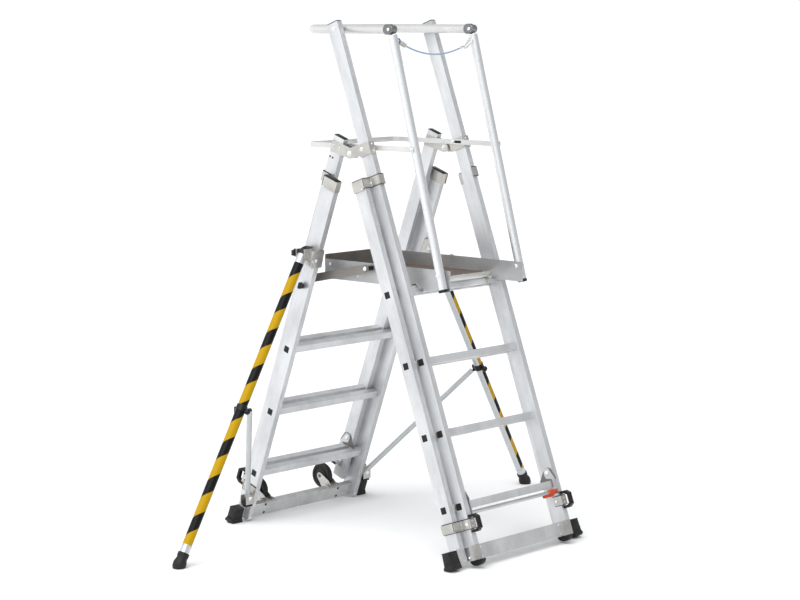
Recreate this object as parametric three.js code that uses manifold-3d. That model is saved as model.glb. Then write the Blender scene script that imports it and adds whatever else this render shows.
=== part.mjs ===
// A folding, telescopic A-frame platform ladder: two leaning frames of two nested ladder sections each,
// a platform with kick boards, a U-shaped guard rail, a rope gate, two outrigger legs and two wheels.
//
// Millimetres, +Z up, +X along the rungs, +Y from the front (climbing) frame to the rear frame.
// Each frame is drawn in its own coordinates: x along the rungs, n towards the other frame, s down the
// stile from the top hinge pin. The frame's group stands at the pin and leans, with its Z up the stile.

import * as THREE from "three";
import Module from "manifold-3d";
import { mergeVertices } from "three/addons/utils/BufferGeometryUtils.js";

const wasm = await Module();
wasm.setup();

// ---------------------------------------------------------------- driving dimensions
const GAP = 0.4; // clearance between pieces that touch or slide
const LAP = 0.1; // overlap of parts that are joined into one piece
const WELD = 1e-3; // corners closer than this are one corner
const LEAN = THREE.MathUtils.degToRad(20);
const PIN_Z = 1527; // height of the hinge pin line
const RUNG_PITCH = 280;
const FIRST_RUNG = 1415; // s of the lowest rung
const RUNG = 28; // side of the square rung
const RUNGS = { front: 4, rear: 3 };
const TOP_RUNG = FIRST_RUNG - 3 * RUNG_PITCH; // s of the fourth rung, or of what stands in its place

const STILE_W = 25;
const WALL = 2;
const GROOVE = { at: [0.3, 0.7], half: 2.2, deep: 1 }; // along each narrow face, as shares of its width
const UPPER = { out: 286, n0: -107, n1: -51, rungN: -79 };
const UPPER_TOP = { front: -505, rear: -36 }; // the front stiles carry on as guard-rail posts
const UPPER_FOOT = { front: 1563, rear: 1556 };
const LOWER = { out: 322, top: 119, bottom: 1620, rungN: -31 };
const LOWER_N = { front: [-62, -6], rear: [-69, 1] };
const UPPER_IN = UPPER.out - STILE_W;
const LOWER_IN = LOWER.out - STILE_W;

const SHEET = 2.5; // thickness of the folded brackets
const GUIDE = { s0: 119, s1: 155, off: 6 }; // bracket on top of a lower stile, round the upper stile
const CLIP = { s0: 1468, s1: 1504, off: 8, inner: -74 }; // bracket on the foot of an upper stile, round the lower stile
const BEAM = {
  front: { n0: -88, n1: -40, s0: 1566, s1: 1621 },
  rear: { n0: -44, n1: -20, s0: 1565, s1: 1622 },
  wall: 3,
};
const BOOT = {
  x: [340, 388],
  front: [-62, -27],
  rear: [-52, -15],
  s0: 1567,
  s1: 1618, // from here down the boot widens into its sole
  flare: 8,
  tread: -38, // the sole lifts from here outwards
  lift: 4,
  shelf: 3, // thickness of the angle between the stile and the boot
};
const ROCKER = { x0: 252, x1: 272, n: -83, half: 32, drop: 22 };
const HINGE = { plate: 3, pin: 20, rear: [-16, 31], front: [-14, 34], inner: -32 };

const PLATFORM = { half: 213, front: -288, back: 205, z0: 1035, z1: 1047 };
const BOARD = { t: 3, front: -450, z0: 1020, z1: 1098, notch: 21.8 };
const TOE_TOP = 1116;
const RAIL = { x: 234.3, r: 17.5, z: 2005, back: 281, bend: 55, wall: 1.8 };
const KNUCKLE = { y: -168, r: 22, collar: -140, wall: 3 };
const TUBE = { endY: -433, endZ: 1024, start: 24 };
const KNEE = { x: 254.8, t: 5, h: 20, z: 1552, front: -300, back: 264, bend: 30 };
const LINK = { x0: 252.4, t: 4.7, w: 32, boardY: -48, boardZ: 1080 };

const POLE = { top: [368, 183, 1128], tip: [1025, 190, 0], r: 19, wall: 2, foot: 62, footR: 26 };
const CLAMP = { at: 644, half: 17, r: 26, knobR: 9, knob: [24, 44] };
const STAY = { foot: [345, 528, 108], r: 11, side: 44, start: 12 };
const CASTOR = { x: 190, n: -103, s: 1552, r: 53, w: 26, bore: 5.6, axle: 5 };
const FORK = {
  eye: 14,
  sheet: 3,
  base: { half: 34, n0: -50, n1: -14, t: 4 },
  arm: [
    [-102, 1538],
    [-50, 1547],
    [-22, 1561],
    [-22, 1564],
    [-45, 1564],
    [-47, 1582],
    [-73, 1592],
    [-113, 1562],
  ],
};
const LEVER = {
  x: UPPER_IN - 6,
  t: 2.6,
  rodN: -103.5,
  rodS: 1446,
  rodR: 7,
  outline: [
    [-66, 1362],
    [-72, 1352],
    [-92, 1352],
    [-113, 1398],
    [-113, 1450],
    [-104, 1458],
    [-94, 1452],
    [-97, 1436],
    [-97, 1397],
    [-70, 1390],
    [-66, 1380],
  ],
};
const LATCH = { s0: 1452, s1: 1520, bar: 11, reach: 43, bow: 26, slope: 12, x0: UPPER.out - 20, x1: UPPER.out - 3 };
const KNOB = { r: 12.5, lobe: 2.5, stem: 6, from: 8, to: 20 };
const FLOOR = { reach: 1500, deep: 300 }; // the block under the floor that feet are cut level with
const ROPE = { y: -186, z: 1958, sag: 50, r: 3, x0: -212, x1: 142, sides: 8 };
const HOOK = { x1: 214, half: 12, wire: 3.2, swivel: 6, length: 34, rise: 8 };

// ---------------------------------------------------------------- finishes: colour, roughness, metalness
const FINISH = {
  stile: [0xd2d6da, 0.4, 0.85],
  rung: [0xcfd3d6, 0.42, 0.85],
  beam: [0xc6cacc, 0.45, 0.85],
  tube: [0xdfe3e6, 0.25, 0.9],
  board: [0xa3a5a7, 0.4, 0.8],
  toe: [0x605a54, 0.4, 0.5],
  plywood: [0x54382a, 0.5, 0],
  link: [0x8a8279, 0.4, 0.8],
  lever: [0xa39b90, 0.38, 0.85],
  cast: [0x5f6062, 0.45, 0.7],
  plastic: [0x232325, 0.4, 0],
  rubber: [0x2a2a2c, 0.6, 0],
  tape: [0xd4a900, 0.4, 0],
  rope: [0x5b86b5, 0.8, 0],
  hook: [0xc9c9c7, 0.25, 1],
};

function finish(name) {
  const [color, roughness, metalness] = FINISH[name];
  return new THREE.MeshStandardMaterial({ color, roughness, metalness });
}

// ---------------------------------------------------------------- booleans
function toManifold(geometry) {
  const bare = geometry.clone();
  for (const key of Object.keys(bare.attributes)) {
    if (key !== "position") bare.deleteAttribute(key);
  }
  const merged = mergeVertices(bare, WELD);
  return new wasm.Manifold(
    new wasm.Mesh({
      numProp: 3,
      vertProperties: new Float32Array(merged.attributes.position.array),
      triVerts: new Uint32Array(merged.index.array),
    }),
  );
}

function fromManifold(body) {
  const found = body.getMesh();
  const geometry = new THREE.BufferGeometry();
  geometry.setAttribute("position", new THREE.BufferAttribute(new Float32Array(found.vertProperties), 3));
  geometry.setIndex(new THREE.BufferAttribute(new Uint32Array(found.triVerts), 1));
  return geometry;
}

function join(...geometries) {
  return fromManifold(geometries.map(toManifold).reduce((a, b) => a.add(b)));
}

function cut(geometry, ...tools) {
  return fromManifold(tools.map(toManifold).reduce((a, b) => a.subtract(b), toManifold(geometry)));
}

// ---------------------------------------------------------------- solids
function flipped(geometry) {
  const found = geometry.index ? geometry : mergeVertices(geometry, WELD);
  const index = found.index.array;
  for (let i = 0; i < index.length; i += 3) {
    [index[i + 1], index[i + 2]] = [index[i + 2], index[i + 1]];
  }
  return found;
}

function moved(geometry, matrix) {
  const found = geometry.clone().applyMatrix4(matrix);
  return matrix.determinant() < 0 ? flipped(found) : found;
}

function box(x0, x1, y0, y1, z0, z1) {
  const geometry = new THREE.BoxGeometry(x1 - x0, y1 - y0, z1 - z0);
  return geometry.translate((x0 + x1) / 2, (y0 + y1) / 2, (z0 + z1) / 2);
}

function shapeOf(outline, holes = []) {
  const points = (flat) => flat.map(([a, b]) => new THREE.Vector2(a, b));
  const shape = new THREE.Shape(points(outline));
  shape.holes = holes.map((hole) => new THREE.Path(points(hole)));
  return shape;
}

// The turns that carry a flat outline's a, b and its depth c onto the axes of the drawing.
const TURNS = {
  x: new THREE.Matrix4().set(0, 0, 1, 0, 1, 0, 0, 0, 0, 1, 0, 0, 0, 0, 0, 1),
  y: new THREE.Matrix4().set(0, 1, 0, 0, 0, 0, 1, 0, 1, 0, 0, 0, 0, 0, 0, 1),
  z: new THREE.Matrix4(),
};

// A flat outline of [a, b] points, pushed along the third axis from c0 to c1.
function extrude(outline, holes, c0, c1, axis) {
  const geometry = new THREE.ExtrudeGeometry(shapeOf(outline, holes), { depth: c1 - c0, bevelEnabled: false });
  return geometry.translate(0, 0, c0).applyMatrix4(TURNS[axis]);
}

function rectangle(a0, a1, b0, b1) {
  return [
    [a0, b0],
    [a1, b0],
    [a1, b1],
    [a0, b1],
  ];
}

function circle(a, b, r, sides = 32) {
  return Array.from({ length: sides }, (_, i) => {
    const turn = (2 * Math.PI * i) / sides;
    return [a + r * Math.cos(turn), b + r * Math.sin(turn)];
  });
}

// The outline of a bar with round ends between two points.
function capsule([a0, b0], [a1, b1], r, sides = 12) {
  const along = Math.atan2(b1 - b0, a1 - a0);
  const end = (a, b, from) =>
    Array.from({ length: sides + 1 }, (_, i) => {
      const turn = from + (Math.PI * i) / sides;
      return [a + r * Math.cos(turn), b + r * Math.sin(turn)];
    });
  return [...end(a1, b1, along - Math.PI / 2), ...end(a0, b0, along + Math.PI / 2)];
}

// The outline of a sheet of thickness t folded along a path.
function folded(path, t) {
  const side = (sign) =>
    path.map((point, i) => {
      const before = path[Math.max(i - 1, 0)];
      const after = path[Math.min(i + 1, path.length - 1)];
      const normals = [
        [before, point],
        [point, after],
      ]
        .filter(([p, q]) => p !== q)
        .map(([p, q]) => new THREE.Vector2(-(q[1] - p[1]), q[0] - p[0]).normalize());
      const mitre = normals.reduce((a, b) => a.clone().add(b)).normalize();
      const reach = (sign * t) / 2 / mitre.dot(normals[0]);
      return [point[0] + mitre.x * reach, point[1] + mitre.y * reach];
    });
  return [...side(-1), ...side(1).reverse()];
}

// A curve through given points, whose even steps are those points.
class Route extends THREE.Curve {
  constructor(points) {
    super();
    this.points = points.map((p) => new THREE.Vector3(...p));
  }

  getUtoTmapping(u) {
    return u;
  }

  getPoint(t) {
    return this.points[Math.round(t * (this.points.length - 1))].clone();
  }

  getTangent(t) {
    const last = this.points.length - 1;
    const i = Math.round(t * last);
    const [before, after] = [this.points[Math.max(i - 1, 0)], this.points[Math.min(i + 1, last)]];
    return after.clone().sub(before).normalize();
  }
}

function ring(outer, inner, sides) {
  const holes = inner > 0 ? [circle(0, 0, inner, sides).reverse()] : [];
  return shapeOf(circle(0, 0, outer, sides), holes);
}

// A round bar (inner = 0) or an open-ended pipe along a line of points.
function bentPipe(points, outer, inner, sides) {
  return new THREE.ExtrudeGeometry(ring(outer, inner, sides), {
    steps: points.length - 1,
    extrudePath: new Route(points),
    bevelEnabled: false,
  });
}

// A straight pipe from the origin up +Z.
function straightPipe(length, outer, inner, sides = 24) {
  return new THREE.ExtrudeGeometry(ring(outer, inner, sides), { depth: length, bevelEnabled: false });
}

// A path through corner points with each inner corner rounded to a bend radius.
function bent(points, radius, steps = 8) {
  const corners = points.map((p) => new THREE.Vector3(...p));
  const path = [points[0]];
  for (let i = 1; i < corners.length - 1; i += 1) {
    const here = corners[i];
    const from = here.clone().addScaledVector(corners[i - 1].clone().sub(here).normalize(), radius);
    const to = here.clone().addScaledVector(corners[i + 1].clone().sub(here).normalize(), radius);
    const centre = from.clone().add(to).sub(here);
    for (let k = 0; k <= steps; k += 1) {
      const turn = (Math.PI / 2) * (k / steps);
      const point = centre.clone();
      point.addScaledVector(from.clone().sub(centre), Math.cos(turn));
      point.addScaledVector(to.clone().sub(centre), Math.sin(turn));
      path.push(point.toArray());
    }
  }
  path.push(points[points.length - 1]);
  return path;
}

// ---------------------------------------------------------------- the scene graph
const ladder = new THREE.Group();
ladder.name = "platform_ladder";
const model = new THREE.Group();
ladder.add(model);

const frames = { front: new THREE.Group(), rear: new THREE.Group() };
for (const [which, group] of Object.entries(frames)) {
  group.position.z = PIN_Z;
  group.rotation.order = "ZYX";
  group.rotation.x = -LEAN;
  group.rotation.z = which === "rear" ? Math.PI : 0;
  group.updateMatrix();
  model.add(group);
}

// From a frame's drawing (x, n, s) to its group: s turns into height, and the rear group faces backwards.
const drawingToGroup = {
  front: new THREE.Matrix4().makeScale(1, 1, -1),
  rear: new THREE.Matrix4().makeScale(-1, 1, -1),
};
const MIRROR = new THREE.Matrix4().makeScale(-1, 1, 1);
const SIDES = { l: -1, r: 1 };

// Adds a piece whose geometry is drawn in place: the mesh stands at the middle of its own box.
function add(name, look, geometry, parent = model) {
  const centred = geometry.clone();
  centred.computeBoundingBox();
  const middle = centred.boundingBox.getCenter(new THREE.Vector3());
  centred.translate(-middle.x, -middle.y, -middle.z);
  const mesh = new THREE.Mesh(centred, finish(look));
  mesh.name = name;
  mesh.position.copy(middle);
  parent.add(mesh);
  return mesh;
}

function addPair(name, look, geometry) {
  add(`${name}_l`, look, moved(geometry, MIRROR));
  add(`${name}_r`, look, geometry);
}

function addToFrame(which, name, look, geometry) {
  add(name, look, moved(geometry, drawingToGroup[which]), frames[which]);
}

function addPairToFrame(which, name, look, geometry) {
  addToFrame(which, `${name}_l`, look, moved(geometry, MIRROR));
  addToFrame(which, `${name}_r`, look, geometry);
}

// Adds a straight pipe that is turned to run between two points, on both sides of the model.
function addPipePair(name, look, from, to, outer, inner, sides = 24) {
  for (const [side, sign] of Object.entries(SIDES)) {
    const [a, b] = [from, to].map((p) => new THREE.Vector3(sign * p.x, p.y, p.z));
    const mesh = new THREE.Mesh(straightPipe(a.distanceTo(b), outer, inner, sides), finish(look));
    mesh.name = `${name}_${side}`;
    mesh.position.copy(a);
    mesh.quaternion.setFromUnitVectors(new THREE.Vector3(0, 0, 1), b.sub(a).normalize());
    model.add(mesh);
  }
}

// ---------------------------------------------------------------- frames
// A hollow stile with two shallow grooves down each narrow face.
function stile(out, n0, n1, s0, s1) {
  const [x0, x1] = [out - STILE_W, out];
  const { half, deep } = GROOVE;
  const grooves = GROOVE.at.map((share) => x0 + STILE_W * share);
  const outline = [[x0, n0]];
  for (const g of grooves) {
    outline.push([g - half, n0], [g - half, n0 + deep], [g + half, n0 + deep], [g + half, n0]);
  }
  outline.push([x1, n0], [x1, n1]);
  for (const g of grooves.toReversed()) {
    outline.push([g + half, n1], [g + half, n1 - deep], [g - half, n1 - deep], [g - half, n1]);
  }
  outline.push([x0, n1]);
  const hole = rectangle(x0 + WALL, x1 - WALL, n0 + WALL + deep, n1 - WALL - deep);
  return extrude(outline, [hole], s0, s1, "z");
}

// The folded bracket round a lower and an upper stile. fixedTo says which of them it is part of. It
// stands off the upper stile's narrow face, and one with an inner side comes back along the inner face.
function wrapBracket(fixedTo, lowerN, { s0, s1, off, inner }) {
  const half = SHEET / 2;
  const onLower = fixedTo === "lower";
  const lowerGap = (onLower ? -LAP : GAP) + half;
  const upperGap = (onLower ? GAP : -LAP) + half;
  const path = [
    [LOWER.out + lowerGap, lowerN[1] + 2],
    [LOWER.out + lowerGap, lowerN[0] - lowerGap],
    [UPPER.out + upperGap, lowerN[0] - lowerGap],
    [UPPER.out + upperGap, UPPER.n0 - off],
    [UPPER_IN - upperGap, UPPER.n0 - off],
  ];
  if (inner !== undefined) path.push([UPPER_IN - upperGap, inner]);
  return extrude(folded(path, SHEET), [], s0, s1, "z");
}

// Square rungs of one section, centred on themselves and set at their pitch.
function addRungs(which, section, half, n) {
  const [h, hole] = [RUNG / 2, RUNG / 2 - WALL];
  for (let i = 0; i < RUNGS[which]; i += 1) {
    const s = FIRST_RUNG - i * RUNG_PITCH;
    const tube = extrude(
      rectangle(n - h, n + h, s - h, s + h),
      [rectangle(n - hole, n + hole, s - hole, s + hole)],
      -half,
      half,
      "x",
    );
    addToFrame(which, `${which}_${section}_rung_${i + 1}`, "rung", tube);
  }
}

function addUpperSection(which) {
  const plates = which === "front" ? frontHingePlates() : rearHingePlates();
  const upright = join(
    stile(UPPER.out, UPPER.n0, UPPER.n1, UPPER_TOP[which], UPPER_FOOT[which]),
    wrapBracket("upper", LOWER_N[which], CLIP),
    plates,
  );
  addPairToFrame(which, which === "front" ? "front_post" : "rear_upper_stile", "stile", upright);
  addRungs(which, "upper", UPPER_IN - GAP, UPPER.rungN);
}

function addLowerSection(which) {
  const [n0, n1] = LOWER_N[which];
  let leg = join(
    stile(LOWER.out, n0, n1, LOWER.top, LOWER.bottom),
    wrapBracket("lower", LOWER_N[which], GUIDE),
    bootShelf(which),
  );
  if (which === "rear") {
    const fittings = [poleBracket(), stayLug()].map((part) => moved(part, modelToDrawing(which)));
    leg = join(leg, ...fittings);
  }
  addPairToFrame(which, `${which}_lower_stile`, "stile", leg);
  addRungs(which, "lower", LOWER_IN - GAP, LOWER.rungN);
  addToFrame(which, `${which}_base_beam`, "beam", baseBeam(which));
  addPairToFrame(which, `${which}_boot`, "rubber", boot(which));
}

function modelToDrawing(which) {
  const groupToDrawing = drawingToGroup[which].clone().invert();
  return groupToDrawing.multiply(frames[which].matrix.clone().invert());
}

function drawingToModel(which, n, s) {
  return new THREE.Vector3(0, n, s).applyMatrix4(modelToDrawing(which).invert());
}

// The box beam between the lower stiles. The front one has stubs that the posts stand on, each with a
// rubber foot, and the rear one carries the castor forks.
function baseBeam(which) {
  const end = LOWER_IN - GAP;
  const { n0, n1, s0, s1 } = BEAM[which];
  const { wall } = BEAM;
  const beam = cut(
    box(-end, end, n0, n1, s0, s1),
    box(-end - 1, end + 1, n0 + wall, n1 - wall, s0 + wall, s1 - wall),
  );
  const fitting = which === "front" ? join(stub(), rocker()) : castorFork();
  return join(beam, fitting, moved(fitting, MIRROR));
}

function stub() {
  return box(UPPER_IN, UPPER.out, UPPER.n0, UPPER.n1, UPPER_FOOT.front + GAP, BEAM.front.s1);
}

// A half-round rubber foot under a stub, just off the floor.
function rocker() {
  const { x0, x1, n, half, drop } = ROCKER;
  const sides = 16;
  const bow = Array.from({ length: sides + 1 }, (_, i) => {
    const turn = (Math.PI * i) / sides;
    return [n + half * Math.cos(turn), BEAM.front.s1 - LAP + drop * Math.sin(turn)];
  });
  return extrude(bow, [], x0, x1, "x");
}

// A fixed fork with its axle: a plate on top of the beam, two arms behind it and the pin between them.
function castorFork() {
  const { x, n, s, w, axle } = CASTOR;
  const { eye, sheet, base, arm } = FORK;
  const top = BEAM.rear.s0;
  const plate = box(x - base.half, x + base.half, base.n0, base.n1, top - base.t, top + LAP);
  const side = (x0) =>
    join(extrude(arm, [], x0, x0 + sheet, "x"), extrude(circle(n, s, eye), [], x0, x0 + sheet, "x"));
  const pin = extrude(circle(n, s, axle), [], x - w / 2 - 6, x + w / 2 + 6, "x");
  return join(plate, side(x - w / 2 - 2 - sheet), side(x + w / 2 + 2), pin);
}

// Both wheels: a lathe profile that closes on itself, turned so that its axis runs along the rungs.
function addCastorWheels() {
  const { x, n, s, r, w, bore } = CASTOR;
  const half = w / 2;
  const side = [
    [bore, -half],
    [13, -half],
    [14, -half + 4],
    [r - 16, -half + 6],
    [r - 14, -half + 2],
    [r - 4, -half + 2],
    [r, -half + 7],
  ];
  const other = side.map(([radius, height]) => [radius, -height]).reverse();
  const profile = [...side, ...other, side[0]].map(([a, b]) => new THREE.Vector2(a, b));
  for (const [name, sign] of Object.entries(SIDES)) {
    const mesh = new THREE.Mesh(welded(new THREE.LatheGeometry(profile, 32)), finish("rubber"));
    mesh.name = `castor_wheel_${name}`;
    mesh.position.set(sign * x, n, s).applyMatrix4(drawingToGroup.rear);
    mesh.rotation.z = Math.PI / 2;
    frames.rear.add(mesh);
  }
}

// A closed lathe body with its seam welded and its faces outward.
function welded(geometry) {
  const bare = geometry.clone();
  bare.deleteAttribute("normal");
  bare.deleteAttribute("uv");
  const merged = mergeVertices(bare, WELD);
  return signedVolume(merged) < 0 ? flipped(merged) : merged;
}

function signedVolume(geometry) {
  const points = geometry.attributes.position;
  const index = geometry.index.array;
  const corner = (i) => new THREE.Vector3().fromBufferAttribute(points, index[i]);
  let sum = 0;
  for (let i = 0; i < index.length; i += 3) {
    sum += corner(i).dot(corner(i + 1).cross(corner(i + 2))) / 6;
  }
  return sum;
}

// A rubber boot outboard of a lower stile's foot: it leans with the stile, widens into its sole and stands
// level on the floor on its inner half, from where the sole lifts.
function boot(which) {
  const { x, s0, s1, flare, tread, lift } = BOOT;
  const [n0, n1] = BOOT[which];
  const floorAt = (n) => (PIN_Z - n * Math.sin(LEAN)) / Math.cos(LEAN);
  const outline = [
    [n0, s0],
    [n1, s0],
    [n1, s1],
    [n1 + flare, s1 + flare],
    [n1 + flare, floorAt(n1 + flare)],
    [tread, floorAt(tread)],
    [n0 - flare, floorAt(tread) - lift],
    [n0 - flare, s1 + flare],
    [n0, s1],
  ];
  return extrude(outline, [], x[0], x[1], "x");
}

// The angle that holds a boot off the stile: a flange square to the stile and a plate along the boot.
function bootShelf(which) {
  const { x, s0, shelf } = BOOT;
  const [n0, n1] = BOOT[which];
  const end = x[0] - GAP;
  const low = LOWER.bottom - GAP;
  return join(
    box(LOWER.out - LAP, end, n0, n0 + shelf, s0, low),
    box(end - shelf, end, n0, n1, s0, low),
  );
}

// ---------------------------------------------------------------- hinge
function rearHingePlates() {
  const { plate, pin, rear } = HINGE;
  const outline = hingeOutline(UPPER.n0 + 2, ...rear, pin);
  return join(
    extrude(outline, [], UPPER.out - LAP, UPPER.out + plate, "x"),
    extrude(outline, [], UPPER_IN - plate, UPPER_IN + LAP, "x"),
  );
}

// A plate from a stile to the pin, ending in a round of the pin plate's radius.
function hingeOutline(n0, s0, s1, pin) {
  const turns = 14;
  const arc = Array.from({ length: turns + 1 }, (_, i) => {
    const turn = Math.PI / 2 - (Math.PI * i) / turns;
    return [pin * Math.cos(turn), pin * Math.sin(turn)];
  });
  return [[n0, s0], [n0, s1], ...arc];
}

function frontHingePlates() {
  const { plate, pin, front, inner } = HINGE;
  const [low, high] = front;
  const first = UPPER.out + plate + GAP;
  const outer = extrude(hingeOutline(UPPER.n0, low, high, pin), [], first, first + plate, "x");
  const pad = box(UPPER.out - LAP, first + plate, UPPER.n0, UPPER.n1 + 1, low, high - 2);
  const wrap = box(UPPER_IN + 4, first + plate, UPPER.n0 - plate, UPPER.n0 + LAP, low, high);
  const inside = box(UPPER_IN - plate, UPPER_IN + LAP, UPPER.n0, inner, low, high - 2);
  return join(outer, pad, wrap, inside);
}

// ---------------------------------------------------------------- platform
function addPlatform() {
  const { half, front, back, z0, z1 } = PLATFORM;
  add("deck", "plywood", box(-half, half, front, back, z0, z1));
  const hinge = drawingToModel("front", UPPER.rungN, TOP_RUNG);
  const x0 = half + GAP;
  const board = box(x0, x0 + BOARD.t, BOARD.front, back, BOARD.z0, BOARD.z1);
  const notch = extrude(circle(hinge.y, hinge.z, BOARD.notch), [], x0 - 1, x0 + BOARD.t + 1, "x");
  addPair("side_board", "board", cut(board, notch));
  const toeHalf = x0 + BOARD.t;
  add("toe_board", "toe", box(-toeHalf, toeHalf, back + GAP, back + GAP + BOARD.t, BOARD.z0, TOE_TOP));
}

function addGuardRail() {
  const { x, r, z, back, bend, wall } = RAIL;
  const arm = KNUCKLE.collar + GAP;
  const path = bent([[x, arm, z], [x, back, z], [-x, back, z], [-x, arm, z]], bend);
  add("top_rail", "tube", bentPipe(path, r, r - wall, 24));

  const barrel = extrude(circle(KNUCKLE.y, z, KNUCKLE.r), [], x - r, x + r, "x");
  const collar = extrude(circle(z, x, r + KNUCKLE.wall, 24), [], KNUCKLE.y, KNUCKLE.collar, "y");
  addPair("rail_knuckle", "cast", join(barrel, collar));

  const top = new THREE.Vector3(x, KNUCKLE.y, z);
  const end = new THREE.Vector3(x, TUBE.endY, TUBE.endZ);
  const start = top.clone().addScaledVector(end.clone().sub(top).normalize(), TUBE.start);
  addPipePair("down_tube", "tube", start, end, r, r - wall);
}

// The flat-bar U at knee height.
function addKneeRail() {
  const { x, t, h, z, front, back, bend } = KNEE;
  const path = bent([[x, front, 0], [x, back, 0], [-x, back, 0], [-x, front, 0]], bend, 6);
  const outline = folded(path.map(([a, b]) => [a, b]), t);
  add("knee_rail", "link", extrude(outline, [], z - h / 2, z + h / 2, "z"));
}

function addLinkBars() {
  const pin = drawingToModel("rear", UPPER.rungN, TOP_RUNG);
  const bar = capsule([pin.y, pin.z], [LINK.boardY, LINK.boardZ], LINK.w / 2);
  addPair("link_bar", "link", extrude(bar, [], LINK.x0, LINK.x0 + LINK.t, "x"));
}

// ---------------------------------------------------------------- outrigger legs
const poleTop = new THREE.Vector3(...POLE.top);
const poleTip = new THREE.Vector3(...POLE.tip);
const poleWay = poleTip.clone().sub(poleTop).normalize();
const poleAt = (d) => poleTop.clone().addScaledVector(poleWay, d);
const poleLength = poleTip.distanceTo(poleTop);

// The bracket of an outrigger on its lower stile: a plate with a cheek on each side of the pole.
function poleBracket() {
  const [x, y, z] = POLE.top;
  const side = POLE.r + 1.5;
  const cheek = (y0) => box(LOWER.out - LAP, x + 13, y0, y0 + 3, z - 22, z + 22);
  return join(
    box(LOWER.out - LAP, LOWER.out + 3, y - side - 3, y + side + 3, z - 30, z + 22),
    cheek(y - side - 3),
    cheek(y + side),
  );
}

function stayLug() {
  const [x, y, z] = STAY.foot;
  return box(LOWER.out - LAP, x - STAY.r - 2, y - 5, y + 17, z - 18, z + 5);
}

function addOutriggers() {
  const foot = poleAt(poleLength - POLE.foot);
  addPipePair("outrigger_pole", "tape", poleTop, foot, POLE.r, POLE.r - POLE.wall);

  const past = 40; // the rubber is drawn past the tip, then cut level with the floor
  const from = poleLength - POLE.foot + GAP;
  const rubber = bentPipe([poleAt(from).toArray(), poleAt(poleLength + past).toArray()], POLE.footR, 0, 20);
  const floor = box(-FLOOR.reach, FLOOR.reach, -FLOOR.reach, FLOOR.reach, -FLOOR.deep, 0);
  addPair("outrigger_foot", "rubber", cut(rubber, floor));

  const { at, half, r, knobR, knob } = CLAMP;
  const ends = [at - half, at + half].map((d) => poleAt(d).toArray());
  const collar = bentPipe(ends, r, POLE.r + GAP, 24);
  const centre = poleAt(at);
  const screw = extrude(circle(centre.z, centre.x, knobR, 20), [], centre.y - knob[1], centre.y - knob[0], "y");
  addPair("outrigger_clamp", "cast", join(collar, screw));

  const stayFoot = new THREE.Vector3(...STAY.foot);
  const way = stayTop().sub(stayFoot).normalize();
  const low = stayFoot.addScaledVector(way, STAY.start);
  addPipePair("outrigger_stay", "stile", low, stayTop(), STAY.r, STAY.r - POLE.wall, 16);
}

// The stay ends beside the pole, on its inboard side.
function stayTop() {
  const inboard = new THREE.Vector3(poleWay.z, 0, -poleWay.x);
  return poleAt(CLAMP.at).addScaledVector(inboard.normalize(), STAY.side);
}

// ---------------------------------------------------------------- small moving pieces
// The release lever of a frame: a rod under the lowest rung between two pivoted plates.
function releaseLever() {
  const { x, t, rodN, rodS, rodR, outline } = LEVER;
  const plate = extrude(outline, [], x, x + t, "x");
  const rod = extrude(circle(rodN, rodS, rodR, 16), [], -x - LAP, x + LAP, "x");
  return join(rod, plate, moved(plate, MIRROR));
}

// The C-shaped pull on the foot of an upper stile: two arms that bend to a straight grip.
function latchHandle() {
  const { s0, s1, bar, reach, bow, slope, x0, x1 } = LATCH;
  const near = UPPER.n0 - SHEET - GAP;
  const [knee, far] = [near - bow, near - reach];
  const outer = [[near, s0], [knee, s0], [far, s0 + slope], [far, s1 - slope], [knee, s1], [near, s1]];
  const inner = [
    [near, s1 - bar],
    [knee + bar / 2, s1 - bar],
    [far + bar, s1 - slope - bar / 2],
    [far + bar, s0 + slope + bar / 2],
    [knee + bar / 2, s0 + bar],
    [near, s0 + bar],
  ];
  return extrude([...outer, ...inner], [], x0, x1, "x");
}

// A three-lobed knob on a short stem.
function starKnob() {
  const { r, lobe, stem, from, to } = KNOB;
  const sides = 36;
  const outline = Array.from({ length: sides }, (_, i) => {
    const turn = (2 * Math.PI * i) / sides;
    const reach = r + lobe * Math.cos(3 * turn);
    return [LOWER.rungN + reach * Math.cos(turn), TOP_RUNG + reach * Math.sin(turn)];
  });
  return join(
    extrude(outline, [], LOWER.out + from, LOWER.out + to, "x"),
    extrude(circle(LOWER.rungN, TOP_RUNG, stem, 20), [], LOWER.out + GAP, LOWER.out + from + 1, "x"),
  );
}

function addRopeGate() {
  const { x0, x1, y, z, sag, r, sides } = ROPE;
  const dip = (x) => z - sag * (1 - (x / x0) ** 2);
  const steps = 36;
  const path = Array.from({ length: steps + 1 }, (_, i) => {
    const x = x0 + ((x1 - x0) * i) / steps;
    return [x, y, dip(x)];
  });
  add("gate_rope", "rope", bentPipe(path, r, 0, sides));

  const { half, wire, swivel, length, rise } = HOOK;
  const near = [dip(x1) + rise, x1 + length];
  const far = [z, HOOK.x1 - half];
  const barrel = bentPipe([[x1 + GAP, y, dip(x1)], [near[1] - swivel, y, near[0] - 1]], swivel, 0, 12);
  const link = extrude(
    capsule(near, far, half),
    [capsule(near, far, half - wire * 2)],
    y - wire,
    y + wire,
    "y",
  );
  add("gate_hook", "hook", join(link, barrel));
}

// ---------------------------------------------------------------- the whole ladder
for (const which of ["front", "rear"]) {
  addUpperSection(which);
  addLowerSection(which);
  addToFrame(which, `${which}_release_lever`, "lever", releaseLever());
  addPairToFrame(which, `${which}_latch`, "plastic", latchHandle());
}
addPairToFrame("rear", "star_knob", "plastic", starKnob());
addCastorWheels();
addPlatform();
addGuardRail();
addKneeRail();
addLinkBars();
addOutriggers();
addRopeGate();

// The origin sits on the floor under the middle of the bounding box.
ladder.updateMatrixWorld(true);
model.position.y = -new THREE.Box3().setFromObject(model, true).getCenter(new THREE.Vector3()).y;

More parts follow.
